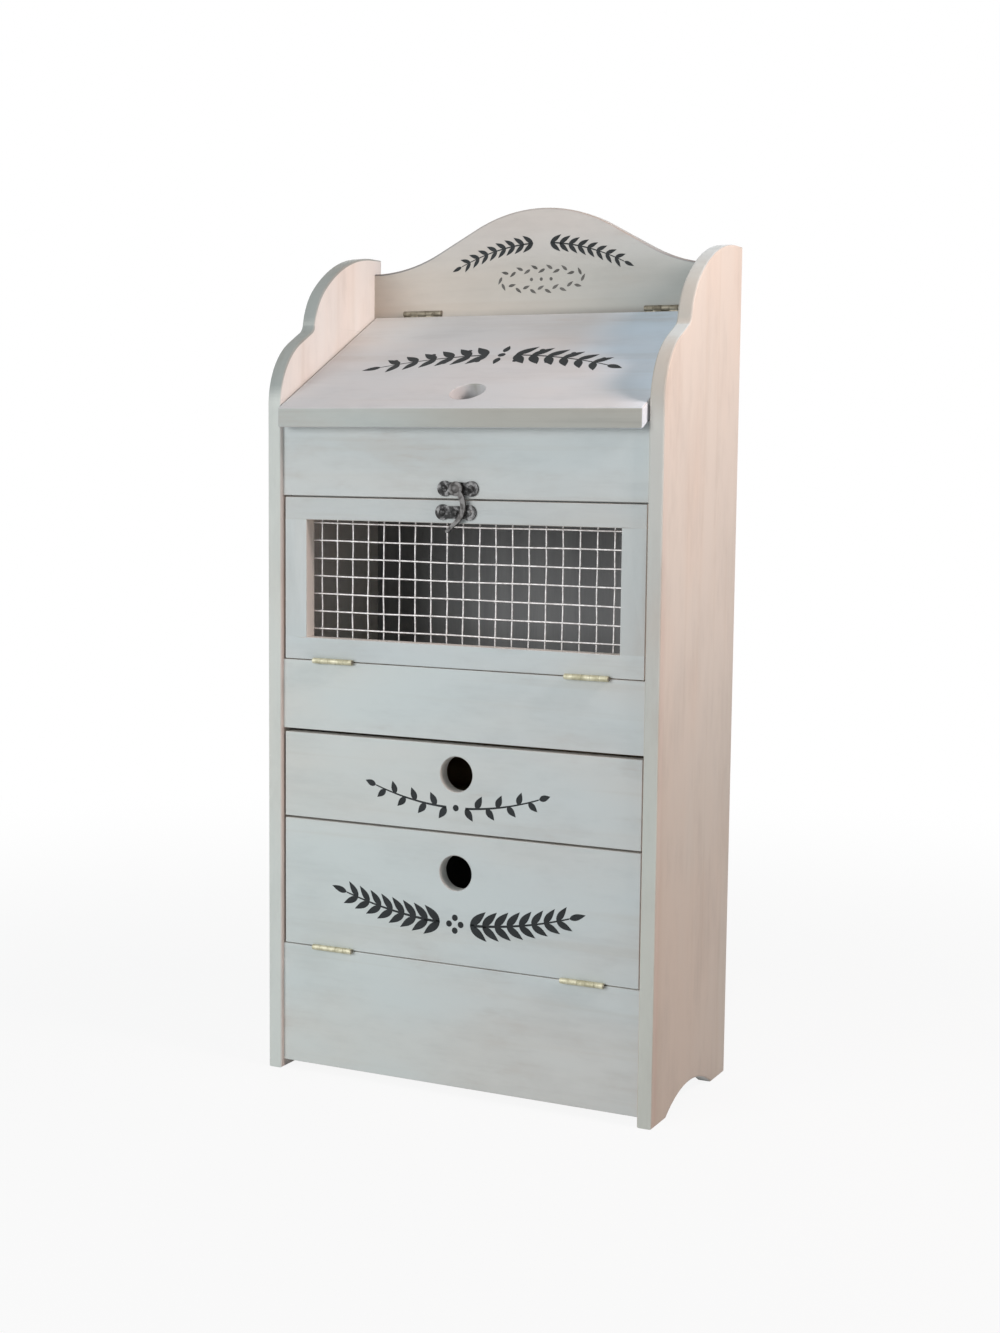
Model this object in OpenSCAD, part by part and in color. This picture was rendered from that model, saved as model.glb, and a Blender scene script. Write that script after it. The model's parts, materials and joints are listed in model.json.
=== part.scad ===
// Vegetable bin: a narrow standing cabinet with a sloping lid, a mesh door, a drawer and a flap door.
// Width runs along X, the fronts face -Y, height runs along Z, and the feet stand on Z = 0.
// The origin is under the middle of the whole cabinet, half way from the lid's nose to the back.

/* [Cabinet] */
// Width over both side panels
cabinet_w = 305; // [285:1:345]
// Depth of a side panel, from its front edge to its back edge
side_depth = 146; // [140:1:170]
// Height of a side panel's back end above the lid's front edge
side_h = 117; // [112:1:140]
// Height of the crest's middle above the lid's front edge
crest_top = 150; // [140:1:175]
// Thickness of the side, front, shelf and crest boards
board_t = 11; // [10:0.5:13]
// How far the fronts sit behind the front edges of the side panels
front_recess = 3.5; // [2:0.5:6]
// Thickness of the plywood back panel
back_t = 4; // [3:0.5:5]
// Width of the rebate that the back panel lies in
back_rebate_w = 6; // [4:0.5:7]
// How deep a shelf is let into each side panel
housing_depth = 3; // [2:0.5:5]
// Height of the bottom board above the floor
bottom_board_z = 20; // [17:1:30]

/* [Front heights] */
// Gap between the floor and the lower front panel
toe_gap = 6; // [4:0.5:12]
// Height of the fixed lower front panel
lower_panel_h = 88.3; // [80:0.1:96]
// Seam beside each pair of hinge leaves
hinge_seam = 0.6; // [0.4:0.1:1.6]
// Height of the lower flap door
flap_h = 93.3; // [88:0.1:100]
// Seam between the flap door and the drawer over it
flap_seam = 1.5; // [1.3:0.1:2.5]
// Height of the drawer front
drawer_front_h = 62; // [56:1:68]
// Gap over the drawer front
drawer_top_gap = 2.6; // [1.5:0.1:4]
// Height of the fixed middle front panel
middle_panel_h = 50.3; // [44:0.1:58]
// Height of the mesh door
mesh_door_h = 116.7; // [104:0.1:124]
// Seam between the mesh door and the rail over it
rail_seam = 1.1; // [0.9:0.1:2.5]
// Gap at each side of a door, the drawer and the lid
side_gap = 1.5; // [1:0.1:2.5]

/* [Side panel curves] */
// Radius of the lower shoulder
shoulder_r = 52; // [40:1:60]
// Length of the straight run behind the lower shoulder
shoulder_run = 17; // [10:1:25]
// Radius of the inner corner between the two shoulders
cove_r = 8; // [5:1:12]
// Radius where the upper shoulder starts
upper_start_r = 48; // [40:1:52]
// Radius where the upper shoulder flattens out
upper_end_r = 108; // [90:1:112]
// Width of the arch between the feet
foot_arch_w = 91; // [70:1:100]
// Height of the arch between the feet
foot_arch_h = 13.4; // [8:0.1:15]
// Length of the front foot on the floor
front_foot = 27; // [20:1:35]

/* [Crest curves] */
// Radius of the crest's round top
crest_top_r = 115; // [100:1:125]
// Radius of the hollow at each end of the crest
crest_end_r = 118; // [100:1:125]
// Steepest slope between the round top and the hollow
crest_slope = 28; // [24:1:32]
// How far the crest reaches below the back of the lid
crest_below = 10; // [8:0.5:16]
// How far the back panel laps over the crest
back_lap = 8; // [5:0.5:9]

/* [Lid] */
// Thickness of the lid board
lid_t = 12.5; // [11:0.5:14]
// Slope of the lid in degrees
lid_slope = 27.2; // [25:0.1:28]
// Height of the lid's front top edge above the lower edge of the rail that it rests on
lid_front_z = 62; // [60:0.5:67]
// How far the lid's nose stands out in front of the side panels
lid_nose = 7; // [3:0.5:12]
// Gap between the closed lid and the rail that it rests on
lid_rest = 0.2; // [0.1:0.1:0.5]
// Distance of the lid's finger hole from the nose, along the slope
lid_hole_back = 26; // [22:0.5:40]

/* [Finger holes] */
// Diameter of a finger hole
finger_d = 25; // [20:0.5:28]
// Eased edge of a finger hole
finger_ease = 0.8; // [0.5:0.1:1.6]
// Height of the drawer's finger hole above the drawer front's lower edge
drawer_hole_up = 41; // [35:0.5:44]
// Height of the flap's finger hole above the flap's lower edge
flap_hole_up = 65.5; // [50:0.5:72]

/* [Mesh door] */
// Width of the frame's upright stiles
stile_w = 18; // [15:0.5:24]
// Height of the frame's rails
rail_h = 16; // [15:0.5:20]
// Distance between neighbouring wires of the mesh
mesh_pitch = 12.7; // [10:0.1:16]
// Thickness of a wire
wire_d = 1.2; // [1:0.1:1.6]
// How far the mesh laps over the back of the frame
mesh_lap = 9; // [7:0.5:11]
// How far a weld sinks one wire into the other
weld_sink = 0.15; // [0.1:0.05:0.3]
// Where the middle upright wire stands, from the middle of the door
mesh_shift = -2; // [-5:0.5:5]
// How far the stop strip reaches down behind the closed mesh door
stop_lap = 2.8; // [2:0.1:4]
// Width of the stop strip's square section
stop_t = 10; // [8:0.5:14]

/* [Butt hinges] */
// Length of a hinge
hinge_len = 32; // [28:1:36]
// Distance of a hinge's middle from the end of its door
hinge_x = 41; // [35:1:50]
// Outer diameter of the knuckles
knuckle_d = 4; // [3.6:0.1:5.2]
// Gap between the knuckles and the face that they stand in front of
knuckle_gap = 0.1; // [0.1:0.1:0.4]
// Diameter of the hinge pin
pin_d = 2; // [1.6:0.1:2.2]
// Gap around the pin in the knuckles
pin_play = 0.05; // [0.02:0.01:0.08]
// Gap between neighbouring knuckles
knuckle_play = 0.2; // [0.1:0.05:0.3]
// Thickness of a leaf
leaf_t = 0.9; // [0.7:0.1:1.1]
// Gap between the two closed leaves
leaf_gap = 0.5; // [0.3:0.1:0.8]
// How far a leaf reaches in between the boards
leaf_reach = 9; // [8:0.5:9.5]

/* [Latch] */
// Length of a latch plate
plate_w = 31.4; // [28:0.1:36]
// Height of a latch plate
plate_h = 10.8; // [9:0.1:12]
// Thickness of a latch plate
plate_t = 1.4; // [1:0.1:2]
// Height of the upper plate's middle above the rail's lower edge
latch_plate_up = 6.9; // [6.5:0.1:10]
// Height of the catch plate's middle below the mesh door's top edge
catch_plate_down = 8.3; // [7.4:0.1:9.4]
// How far the catch plate's middle stands to the left of the upper plate's
catch_plate_left = 1.5; // [0:0.1:3]
// How much narrower a latch plate is between its two round ends
plate_waist = 2; // [0:0.1:4]
// Diameter of the hook's rivet
rivet_d = 3.2; // [2.6:0.1:3.6]
// Gap around the rivet in the hook
rivet_play = 0.05; // [0.02:0.01:0.08]
// Thickness of the hook
hook_t = 1.8; // [1.4:0.1:2.4]
// Width of the hook's arm
hook_w = 3.2; // [2.8:0.1:4.4]
// How much wider the arm is where it leaves the eye
hook_taper = 0.8; // [0:0.1:1.5]
// Radius of the hook's arm along its middle
hook_r = 14.2; // [13:0.1:16]
// Diameter of the hook's round eye
hook_eye_d = 10; // [8:0.5:10.5]
// Length of the hook's straight tail
tail_len = 11; // [6:0.5:12]
// Diameter of the catch post
post_d = 3.4; // [3:0.1:4]
// Where the catch post stands, from the middle of the catch plate
post_x = 0; // [-2:0.1:1]

/* [Drawer] */
// Thickness of the drawer's sides and back
drawer_side_t = 8; // [6:0.5:9]
// Height of the drawer's sides
drawer_side_h = 52; // [44:1:56]
// Thickness of the drawer's plywood bottom
drawer_bottom_t = 4; // [3:0.5:5]
// How deep the bottom is let into the sides and the front
drawer_groove = 3; // [2:0.5:4]
// How deep the sides are let into the front
drawer_lap = 5; // [3:0.5:6]
// Height of the drawer's bottom above its lower edges
drawer_bottom_up = 4; // [3:0.5:6]
// Gap between the drawer and the shelf that it slides on
slide_gap = 0.3; // [0.2:0.1:0.5]
// How far the front laps down over the shelf's edge, which stops the drawer
drawer_stop_lap = 1.5; // [1:0.1:3]
// Gap between the drawer's back end and the back panel
drawer_back_gap = 4; // [2:0.5:8]

/* [Fasteners] */
// Diameter of the wooden dowels
dowel_d = 6; // [5:0.5:7]
// Length of a dowel
dowel_len = 18; // [14:1:22]
// How deep a dowel sits in the side panel
dowel_sink = 7; // [5:0.5:8]
// Distance of a dowel from the end of its joint
dowel_inset = 14; // [12:0.5:18]
// Diameter of a screw's shank in a leaf
leaf_screw_d = 2.2; // [1.8:0.1:2.6]
// Length of a leaf screw
leaf_screw_len = 8; // [6:0.5:8.5]
// Diameter of a panel pin
panel_pin_d = 1.4; // [1:0.1:1.8]
// Length of a panel pin
panel_pin_len = 14; // [10:0.5:16]
// Diameter of the magnet in the shelf's edge
magnet_d = 5; // [4:0.5:5.5]

/* [Hidden] */

// Fineness of true rounds, and the turn of one step along a drawn curve
$fn = 48;
arc_step = 3;
// Overshoot of a cutting solid
over = 1;

// Places across the width
half_in = cabinet_w / 2 - board_t;
half_front = half_in - side_gap;

// Places from front to back
y_front = -(side_depth - lid_nose) / 2;
y_nose = y_front - lid_nose;
y_face = y_front + front_recess;
y_inner = y_face + board_t;
y_rear = y_front + side_depth;
y_back = y_rear - back_t;
y_crest = y_rear - board_t;
y_lid_end = y_crest - hinge_seam;

// Heights of the fronts, one on top of the other
lower_z1 = toe_gap + lower_panel_h;
flap_z0 = lower_z1 + hinge_seam;
flap_z1 = flap_z0 + flap_h;
drawer_z0 = flap_z1 + flap_seam;
drawer_z1 = drawer_z0 + drawer_front_h;
middle_z0 = drawer_z1 + drawer_top_gap;
middle_z1 = middle_z0 + middle_panel_h;
mesh_z0 = middle_z1 + hinge_seam;
mesh_z1 = mesh_z0 + mesh_door_h;
rail_z0 = mesh_z1 + rail_seam;
lid_edge_z = rail_z0 + lid_front_z;
side_top_z = lid_edge_z + side_h;
crest_top_z = lid_edge_z + crest_top;

// Shelves
drawer_shelf_z1 = drawer_z0 + drawer_stop_lap;
drawer_shelf_z0 = drawer_shelf_z1 - board_t;
bin_shelf_z0 = middle_z0 + drawer_top_gap;

// The lid's top and underside over a place y, and its hinge axis
function lid_top(y) = lid_edge_z + (y - y_nose) * tan(lid_slope);
function lid_under(y) = lid_top(y) - lid_t / cos(lid_slope);
crest_z0 = lid_under(y_lid_end) - crest_below;
back_z1 = crest_z0 + back_lap;

// Hinges: the pin axis stands in front of the face by half a knuckle and its gap
knuckle_r = knuckle_d / 2;
axis_out = knuckle_r + knuckle_gap;
leaf_end = axis_out + leaf_reach;
leaf_screw_y = axis_out + board_t / 2;
hinge_mid = half_front - hinge_x;
leaf_screw_share = 0.3;
leaf_screw_x = hinge_len * leaf_screw_share;
knuckle_count = 5;
knuckle_len = hinge_len / knuckle_count;
leaf_fit = 0.1;
lid_axis = [y_crest - hinge_seam / 2, lid_top(y_lid_end) + axis_out];
mesh_axis = [y_face - axis_out, middle_z1 + hinge_seam / 2];
flap_axis = [y_face - axis_out, lower_z1 + hinge_seam / 2];

// Latch: the rivet is the hook's own origin, and the arm's circle passes through it
latch_z = rail_z0 + latch_plate_up;
catch_z = mesh_z1 - catch_plate_down;
hook_start = 55;
hook_end = -47;
hook_centre = [-hook_r * cos(hook_start), -hook_r * sin(hook_start)];
boss_h = 1.6;
hook_gap = 0.1;
hook_back = plate_t + boss_h + hook_gap;
lobe_x = (plate_w - plate_h) / 2;

// Mesh: the opening of the frame, and the wires that fall on the lapping sheet
open_half = half_front - stile_w;
open_z0 = mesh_z0 + rail_h;
open_z1 = mesh_z1 - rail_h;
sheet_half = open_half + mesh_lap;
sheet_z0 = open_z0 - mesh_lap;
sheet_z1 = open_z1 + mesh_lap;
wire_first = ceil((-sheet_half - mesh_shift + wire_d) / mesh_pitch);
wire_last = floor((sheet_half - mesh_shift - wire_d) / mesh_pitch);
top_wire_down = 2.7;
row_first = ceil((sheet_z0 - open_z1 + top_wire_down + wire_d) / mesh_pitch);
row_last = floor((sheet_z1 - open_z1 + top_wire_down - wire_d) / mesh_pitch);
uprights_y = y_inner + wire_d * 1.5 - weld_sink;

// Drawer
drawer_y0 = y_inner - drawer_lap;
drawer_y1 = y_back - drawer_back_gap;
drawer_box_z0 = drawer_shelf_z1 + slide_gap;
drawer_box_z1 = drawer_box_z0 + drawer_side_h;
drawer_ply_z0 = drawer_box_z0 + drawer_bottom_up;
drawer_ply_z1 = drawer_ply_z0 + drawer_bottom_t;

// Colours
paint = [0.80, 0.82, 0.81];
warm_paint = [0.86, 0.80, 0.76];
bare_wood = [0.80, 0.68, 0.50];
plywood = [0.78, 0.70, 0.56];
brass = [0.78, 0.70, 0.42];
bronze = [0.30, 0.29, 0.27];
steel = [0.70, 0.71, 0.72];

// Points along a chain of tangent steps from p, heading at angle a: [length] is a straight run,
// and [radius, turn] is an arc that turns left for a positive turn
function walk(p, a, steps, i = 0) =
    i == len(steps) ? [] :
    let (s = steps[i])
    len(s) == 1 ?
        let (q = p + s[0] * [cos(a), sin(a)])
        concat([q], walk(q, a, steps, i + 1)) :
    let (
        r = s[0] * sign(s[1]),
        c = p + r * [-sin(a), cos(a)],
        n = ceil(abs(s[1]) / arc_step),
        pts = [for (k = [1:n]) let (b = a + s[1] * k / n) c + r * [sin(b), -cos(b)]]
    )
    concat(pts, walk(pts[n - 1], a + s[1], steps, i + 1));

// A block between two corners
module block(low, high) {
    translate(low)
        cube(high - low);
}

// A shape drawn in the Y-Z plane, run along X between two places
module run_x(x0, x1) {
    translate([x0, 0, 0])
        rotate([90, 0, 90])
            linear_extrude(x1 - x0)
                children();
}

// A shape drawn in the X-Z plane, run along Y from y0 to y1
module run_y(y0, y1) {
    translate([0, y1, 0])
        rotate([90, 0, 0])
            linear_extrude(y1 - y0)
                children();
}

// A rod along X, Y or into the front from a place
module rod_x(x0, x1, d) {
    translate([x0, 0, 0])
        rotate([0, 90, 0])
            cylinder(h = x1 - x0, d = d);
}

module rod_y(y0, y1, d) {
    translate([0, y1, 0])
        rotate([90, 0, 0])
            cylinder(h = y1 - y0, d = d);
}

// The finger hole's cutter, centred on a board of the thickness given, along Z
module finger_cutter(thick) {
    cylinder(h = thick + 2 * over, d = finger_d, center = true);
    for (m = [0, 1])
        mirror([0, 0, m])
            translate([0, 0, thick / 2 - finger_ease])
                cylinder(h = finger_ease + over, d1 = finger_d,
                         d2 = finger_d + 2 * (finger_ease + over));
}

// Side panels

// Turns of the two shoulders and the corner between them
lower_turn = 62;
cove_turn = 52;
upper_turn = 38;
shoulder_steps = [
    [shoulder_r, -lower_turn],
    [shoulder_run],
    [cove_r, cove_turn],
    [upper_start_r, -upper_turn],
    [upper_end_r, lower_turn + upper_turn - cove_turn - 90]
];

// The shoulder's own points from [0, 0], and the rise that the panel's height leaves under it
shoulder_pts = walk([0, 0], 90, shoulder_steps);
shoulder_rise = shoulder_pts[len(shoulder_pts) - 1][1];
shoulder_z = side_top_z - shoulder_rise;

module side_outline() {
    polygon(concat(
        [[y_front, 0], [y_front, shoulder_z]],
        [for (p = shoulder_pts) [y_front + p[0], shoulder_z + p[1]]],
        [[y_rear, side_top_z], [y_rear, 0]]
    ));
}

arch_r = (pow(foot_arch_w / 2, 2) + pow(foot_arch_h, 2)) / (2 * foot_arch_h);

// Dowel places: [y, z] of each dowel that joins a front or the crest to a side panel
y_front_mid = y_face + board_t / 2;
crest_half_pts = walk([0, 0], 0, [
    [crest_top_r, -crest_slope],
    [(half_in - (crest_top_r + crest_end_r) * sin(crest_slope)) / cos(crest_slope)],
    [crest_end_r, crest_slope]
]);
crest_end_z = crest_top_z + crest_half_pts[len(crest_half_pts) - 1][1];
dowel_spots = [
    for (row = [
        [y_front_mid, toe_gap, lower_z1],
        [y_front_mid, middle_z0, middle_z1],
        [y_front_mid, rail_z0, lid_under(y_face)],
        [y_rear - board_t / 2, crest_z0, crest_end_z]
    ])
    for (z = [row[1] + dowel_inset, row[2] - dowel_inset]) [row[0], z]
];

// Dowels at one side, with extra length at both ends when used as a cutter
module dowels_at_side(side, extra = 0) {
    x_outer = half_in + dowel_sink + extra;
    x_inner = half_in + dowel_sink - dowel_len - extra;
    for (s = dowel_spots)
        translate([0, s[0], s[1]])
            rod_x(side > 0 ? x_inner : -x_outer, side > 0 ? x_outer : -x_inner, dowel_d);
}

// Panel pins: places of those through the back panel, as [x, z]
pin_rows = 5;
pin_spread = 0.6;
back_pin_bite = 5;
back_pin_x = half_in + back_rebate_w / 2;
back_pins = concat(
    [for (side = [-1, 1], k = [0:pin_rows - 1])
        [side * back_pin_x, bottom_board_z + board_t / 2
            + k * (crest_z0 - bottom_board_z - board_t / 2 - dowel_inset) / (pin_rows - 1)]],
    [for (x = [-1:1]) [x * half_in * pin_spread, bottom_board_z + board_t / 2]],
    [for (x = [-1:1]) [x * half_in * pin_spread, crest_z0 + back_lap / 2]]
);
back_pin_len = back_t + back_pin_bite;

module back_pin_rods() {
    for (p = back_pins)
        translate([p[0], 0, p[1]])
            rod_y(y_rear - back_pin_len, y_rear, panel_pin_d);
}

module side_panel(side) {
    color(side > 0 ? warm_paint : paint)
        difference() {
            run_x(side > 0 ? half_in : -cabinet_w / 2, side > 0 ? cabinet_w / 2 : -half_in)
                side_outline();
            // Arch between the feet
            translate([-cabinet_w, y_front + front_foot + foot_arch_w / 2, foot_arch_h - arch_r])
                rod_x(0, 2 * cabinet_w, 2 * arch_r);
            // Rebate for the back panel
            block([side * half_in - back_rebate_w, y_back, bottom_board_z],
                  [side * half_in + back_rebate_w, y_rear + over, back_z1]);
            // Housings of the three shelves
            for (shelf = [[bottom_board_z, y_inner], [drawer_shelf_z0, y_inner], [bin_shelf_z0, y_inner]])
                block([side * half_in - housing_depth, shelf[1], shelf[0]],
                      [side * half_in + housing_depth, y_back, shelf[0] + board_t]);
            dowels_at_side(side);
            back_pin_rods();
        }
}

module side_panel_left() {
    side_panel(-1);
}

module side_panel_right() {
    side_panel(1);
}

module frame_dowels() {
    color(bare_wood)
        for (side = [-1, 1])
            dowels_at_side(side);
}

// Crest, back and shelves

module crest_board() {
    right = [for (p = crest_half_pts) [p[0], crest_top_z + p[1]]];
    left = [for (k = [len(right) - 1:-1:0]) [-right[k][0], right[k][1]]];
    color(paint)
        difference() {
            run_y(y_crest, y_rear)
                polygon(concat(left, [[0, crest_top_z]], right,
                               [[half_in, crest_z0], [-half_in, crest_z0]]));
            block([-cabinet_w, y_back, crest_z0 - over], [cabinet_w, y_rear + over, back_z1]);
            for (side = [-1, 1]) {
                dowels_at_side(side);
                at_lid_hinge(side) {
                    leaf_recess(1);
                    knuckle_groove();
                    leaf_screw_rods(1);
                }
            }
            back_pin_rods();
        }
}

module back_panel() {
    color(plywood)
        difference() {
            block([-half_in - back_rebate_w, y_back, bottom_board_z],
                  [half_in + back_rebate_w, y_rear, back_z1]);
            back_pin_rods();
        }
}

module back_panel_pins() {
    color(steel)
        back_pin_rods();
}

module shelf(z0) {
    color(bare_wood)
        difference() {
            block([-half_in - housing_depth, y_inner, z0],
                  [half_in + housing_depth, y_back, z0 + board_t]);
            children();
        }
}

module bottom_board() {
    shelf(bottom_board_z)
        back_pin_rods();
}

// Magnet and keeper: their height on the shelf's edge, behind the top of the flap
magnet_z = (drawer_shelf_z0 + flap_z1) / 2;
magnet_len = 5;
keeper_t = 1;
keeper_rim = 0.75;
keeper_d = magnet_d + 2 * keeper_rim;

module drawer_shelf() {
    shelf(drawer_shelf_z0)
        translate([0, 0, magnet_z])
            rod_y(y_inner - over, y_inner + magnet_len, magnet_d);
}

module flap_magnet() {
    color(steel)
        translate([0, 0, magnet_z])
            rod_y(y_inner, y_inner + magnet_len, magnet_d);
}

module bin_shelf() {
    shelf(bin_shelf_z0);
}

// Fixed fronts

module lower_front_panel() {
    color(paint)
        difference() {
            block([-half_in, y_face, toe_gap], [half_in, y_inner, lower_z1]);
            for (side = [-1, 1]) {
                dowels_at_side(side);
                at_flap_hinge(side) {
                    leaf_recess(-1);
                    leaf_screw_rods(-1);
                }
            }
        }
}

module middle_front_panel() {
    color(paint)
        difference() {
            block([-half_in, y_face, middle_z0], [half_in, y_inner, middle_z1]);
            for (side = [-1, 1]) {
                dowels_at_side(side);
                at_mesh_hinge(side) {
                    leaf_recess(-1);
                    leaf_screw_rods(-1);
                }
            }
        }
}

module upper_front_rail() {
    color(paint)
        difference() {
            run_x(-half_in, half_in)
                polygon([
                    [y_face, rail_z0],
                    [y_face, lid_under(y_face) - lid_rest],
                    [y_inner, lid_under(y_inner) - lid_rest],
                    [y_inner, rail_z0]
                ]);
            for (side = [-1, 1])
                dowels_at_side(side);
            translate([0, 0, latch_z]) {
                plate_screw_rods();
                rivet_rod();
            }
        }
}

module mesh_door_stop() {
    color(bare_wood)
        block([-half_in, y_inner, mesh_z1 - stop_lap], [half_in, y_inner + stop_t, mesh_z1 - stop_lap + stop_t]);
}

// Lid

module lid_board() {
    color(paint)
        difference() {
            run_x(-half_front, half_front)
                polygon([
                    [y_nose, lid_edge_z],
                    [y_lid_end, lid_top(y_lid_end)],
                    [y_lid_end, lid_under(y_lid_end)],
                    [y_nose, lid_under(y_nose)]
                ]);
            translate([0, y_nose + lid_hole_back * cos(lid_slope), lid_edge_z + lid_hole_back * sin(lid_slope)])
                rotate([lid_slope, 0, 0])
                    translate([0, 0, -lid_t / 2])
                        finger_cutter(lid_t);
            for (side = [-1, 1])
                at_lid_hinge(side) {
                    leaf_recess(-1);
                    leaf_screw_rods(-1);
                }
        }
}

// Mesh door

// A rail runs across the whole front, and the stiles lap behind it at the corners
module door_rail(z0) {
    difference() {
        block([-half_front, y_face, z0], [half_front, y_inner, z0 + rail_h]);
        for (side = [-1, 1])
            block([side * (open_half + stile_w) - stile_w, y_face + board_t / 2, z0 - over],
                  [side * (open_half + stile_w) + stile_w, y_inner + over, z0 + rail_h + over]);
        children();
    }
}

module mesh_door_top_rail() {
    color(paint)
        door_rail(open_z1) {
            translate([-catch_plate_left, 0, catch_z])
                plate_screw_rods();
            staple_legs();
        }
}

module mesh_door_bottom_rail() {
    color(paint)
        door_rail(mesh_z0) {
            for (side = [-1, 1])
                at_mesh_hinge(side) {
                    leaf_recess(1);
                    leaf_screw_rods(1);
                }
            staple_legs();
        }
}

module door_stile(side) {
    x0 = side > 0 ? open_half : -half_front;
    color(paint)
        difference() {
            block([x0, y_face, mesh_z0], [x0 + stile_w, y_inner, mesh_z1]);
            for (z = [mesh_z0 - over, open_z1])
                block([x0 - over, y_face - over, z], [x0 + stile_w + over, y_face + board_t / 2, z + rail_h + over]);
            staple_legs();
        }
}

module mesh_door_left_stile() {
    door_stile(-1);
}

module mesh_door_right_stile() {
    door_stile(1);
}

// Wires are eight-sided bars, turned so that a flat lies against the frame
wire_sides = 8;
wire_out_d = wire_d / cos(180 / wire_sides);

module wire_mesh() {
    color(steel)
        union() {
            for (k = [wire_first:wire_last])
                translate([mesh_shift + k * mesh_pitch, uprights_y, sheet_z0])
                    rotate([0, 0, 180 / wire_sides])
                        cylinder(h = sheet_z1 - sheet_z0, d = wire_out_d, $fn = wire_sides);
            for (k = [row_first:row_last])
                translate([-sheet_half, y_inner + wire_d / 2, open_z1 - top_wire_down + k * mesh_pitch])
                    rotate([0, 90, 0])
                        rotate([0, 0, 180 / wire_sides])
                            cylinder(h = 2 * sheet_half, d = wire_out_d, $fn = wire_sides);
        }
}

// Staples straddle the ends of the wires: [x, z, upright]
staple_w = 6;
staple_wire = 1;
staple_leg = 5;
rail_staple_in = 4;
stile_staple_in = 5;
rail_staple_step = 4;
stile_staple_step = 3;
staple_spots = concat(
    [for (k = [wire_first + 2:rail_staple_step:wire_last - 1],
          z = [open_z0 - rail_staple_in, open_z1 + rail_staple_in])
        [mesh_shift + k * mesh_pitch, z, true]],
    [for (k = [row_first + 2:stile_staple_step:row_last], side = [-1, 1])
        [side * (open_half + stile_staple_in), open_z1 - top_wire_down + k * mesh_pitch, false]]
);

// The legs run into the frame, and the crown bridges the wire that it holds
module staple_legs() {
    for (s = staple_spots)
        for (m = [-1, 1])
            translate([s[0], y_inner, s[1]])
                translate(s[2] ? [m * (staple_w - staple_wire) / 2, 0, 0] : [0, 0, m * (staple_w - staple_wire) / 2])
                    block([-staple_wire / 2, -staple_leg, -staple_wire / 2],
                          [staple_wire / 2, 0, staple_wire / 2]);
}

module mesh_staples() {
    color(steel) {
        for (s = staple_spots) {
            rise = s[2] ? 2 * wire_d - weld_sink : wire_d;
            half = s[2] ? [staple_w / 2, 0, staple_wire / 2] : [staple_wire / 2, 0, staple_w / 2];
            leg = s[2] ? [(staple_w - staple_wire) / 2, 0, 0] : [0, 0, (staple_w - staple_wire) / 2];
            translate([s[0], y_inner, s[1]])
                union() {
                    block(-half + [0, rise, 0], half + [0, rise + staple_wire, 0]);
                    for (m = [-1, 1])
                        translate(m * leg)
                            block([-staple_wire / 2, -staple_leg, -staple_wire / 2],
                                  [staple_wire / 2, rise + staple_wire, staple_wire / 2]);
                }
        }
    }
}

// Lower flap

module flap_board() {
    color(paint)
        difference() {
            block([-half_front, y_face, flap_z0], [half_front, y_inner, flap_z1]);
            translate([0, y_face + board_t / 2, flap_z0 + flap_hole_up])
                rotate([90, 0, 0])
                    finger_cutter(board_t);
            for (side = [-1, 1])
                at_flap_hinge(side) {
                    leaf_recess(1);
                    leaf_screw_rods(1);
                }
            translate([0, 0, magnet_z]) {
                rod_y(y_inner - keeper_t, y_inner + over, keeper_d);
                rod_y(y_inner - leaf_screw_len, y_inner, leaf_screw_d);
            }
        }
}

module flap_keeper_disc() {
    color(steel)
        translate([0, 0, magnet_z])
            difference() {
                rod_y(y_inner - keeper_t, y_inner, keeper_d);
                translate([0, y_inner, 0])
                    rotate([90, 0, 0])
                        countersunk_screw(leaf_screw_d, leaf_screw_len, keeper_t);
            }
}

module flap_keeper_screw() {
    color(steel)
        translate([0, y_inner, magnet_z])
            rotate([90, 0, 0])
                countersunk_screw(leaf_screw_d, leaf_screw_len, keeper_t);
}

// Drawer

// A place on the drawer's long sides where pins go into the front and the back, as [y, z]
drawer_back_y = drawer_y1 - drawer_side_t;
drawer_pin_in = 8;
drawer_pin_spots = [
    for (y = [drawer_y0 + drawer_lap / 2, drawer_y1 - drawer_side_t / 2])
    for (z = [drawer_ply_z1 + drawer_pin_in, drawer_box_z1 - drawer_pin_in]) [y, z]
];

module drawer_pin_rods() {
    for (s = drawer_pin_spots)
        translate([0, s[0], s[1]]) {
            rod_x(-half_front, -half_front + panel_pin_len, panel_pin_d);
            rod_x(half_front - panel_pin_len, half_front, panel_pin_d);
        }
}

module drawer_front() {
    color(paint)
        difference() {
            block([-half_front, y_face, drawer_z0], [half_front, y_inner, drawer_z1]);
            for (side = [-1, 1])
                block([side * half_front - drawer_side_t, drawer_y0, drawer_box_z0],
                      [side * half_front + drawer_side_t, y_inner + over, drawer_box_z1]);
            block([-half_front + drawer_side_t - drawer_groove, y_inner - drawer_groove, drawer_ply_z0],
                  [half_front - drawer_side_t + drawer_groove, y_inner + over, drawer_ply_z1]);
            translate([0, y_face + board_t / 2, drawer_z0 + drawer_hole_up])
                rotate([90, 0, 0])
                    finger_cutter(board_t);
            drawer_pin_rods();
        }
}

module drawer_side(side) {
    x0 = side > 0 ? half_front - drawer_side_t : -half_front;
    inner_x = side * (half_front - drawer_side_t);
    color(bare_wood)
        difference() {
            block([x0, drawer_y0, drawer_box_z0], [x0 + drawer_side_t, drawer_y1, drawer_box_z1]);
            block([inner_x - drawer_groove, drawer_y0 - over, drawer_ply_z0],
                  [inner_x + drawer_groove, drawer_y1 + over, drawer_ply_z1]);
            drawer_pin_rods();
        }
}

module drawer_side_left() {
    drawer_side(-1);
}

module drawer_side_right() {
    drawer_side(1);
}

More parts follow.
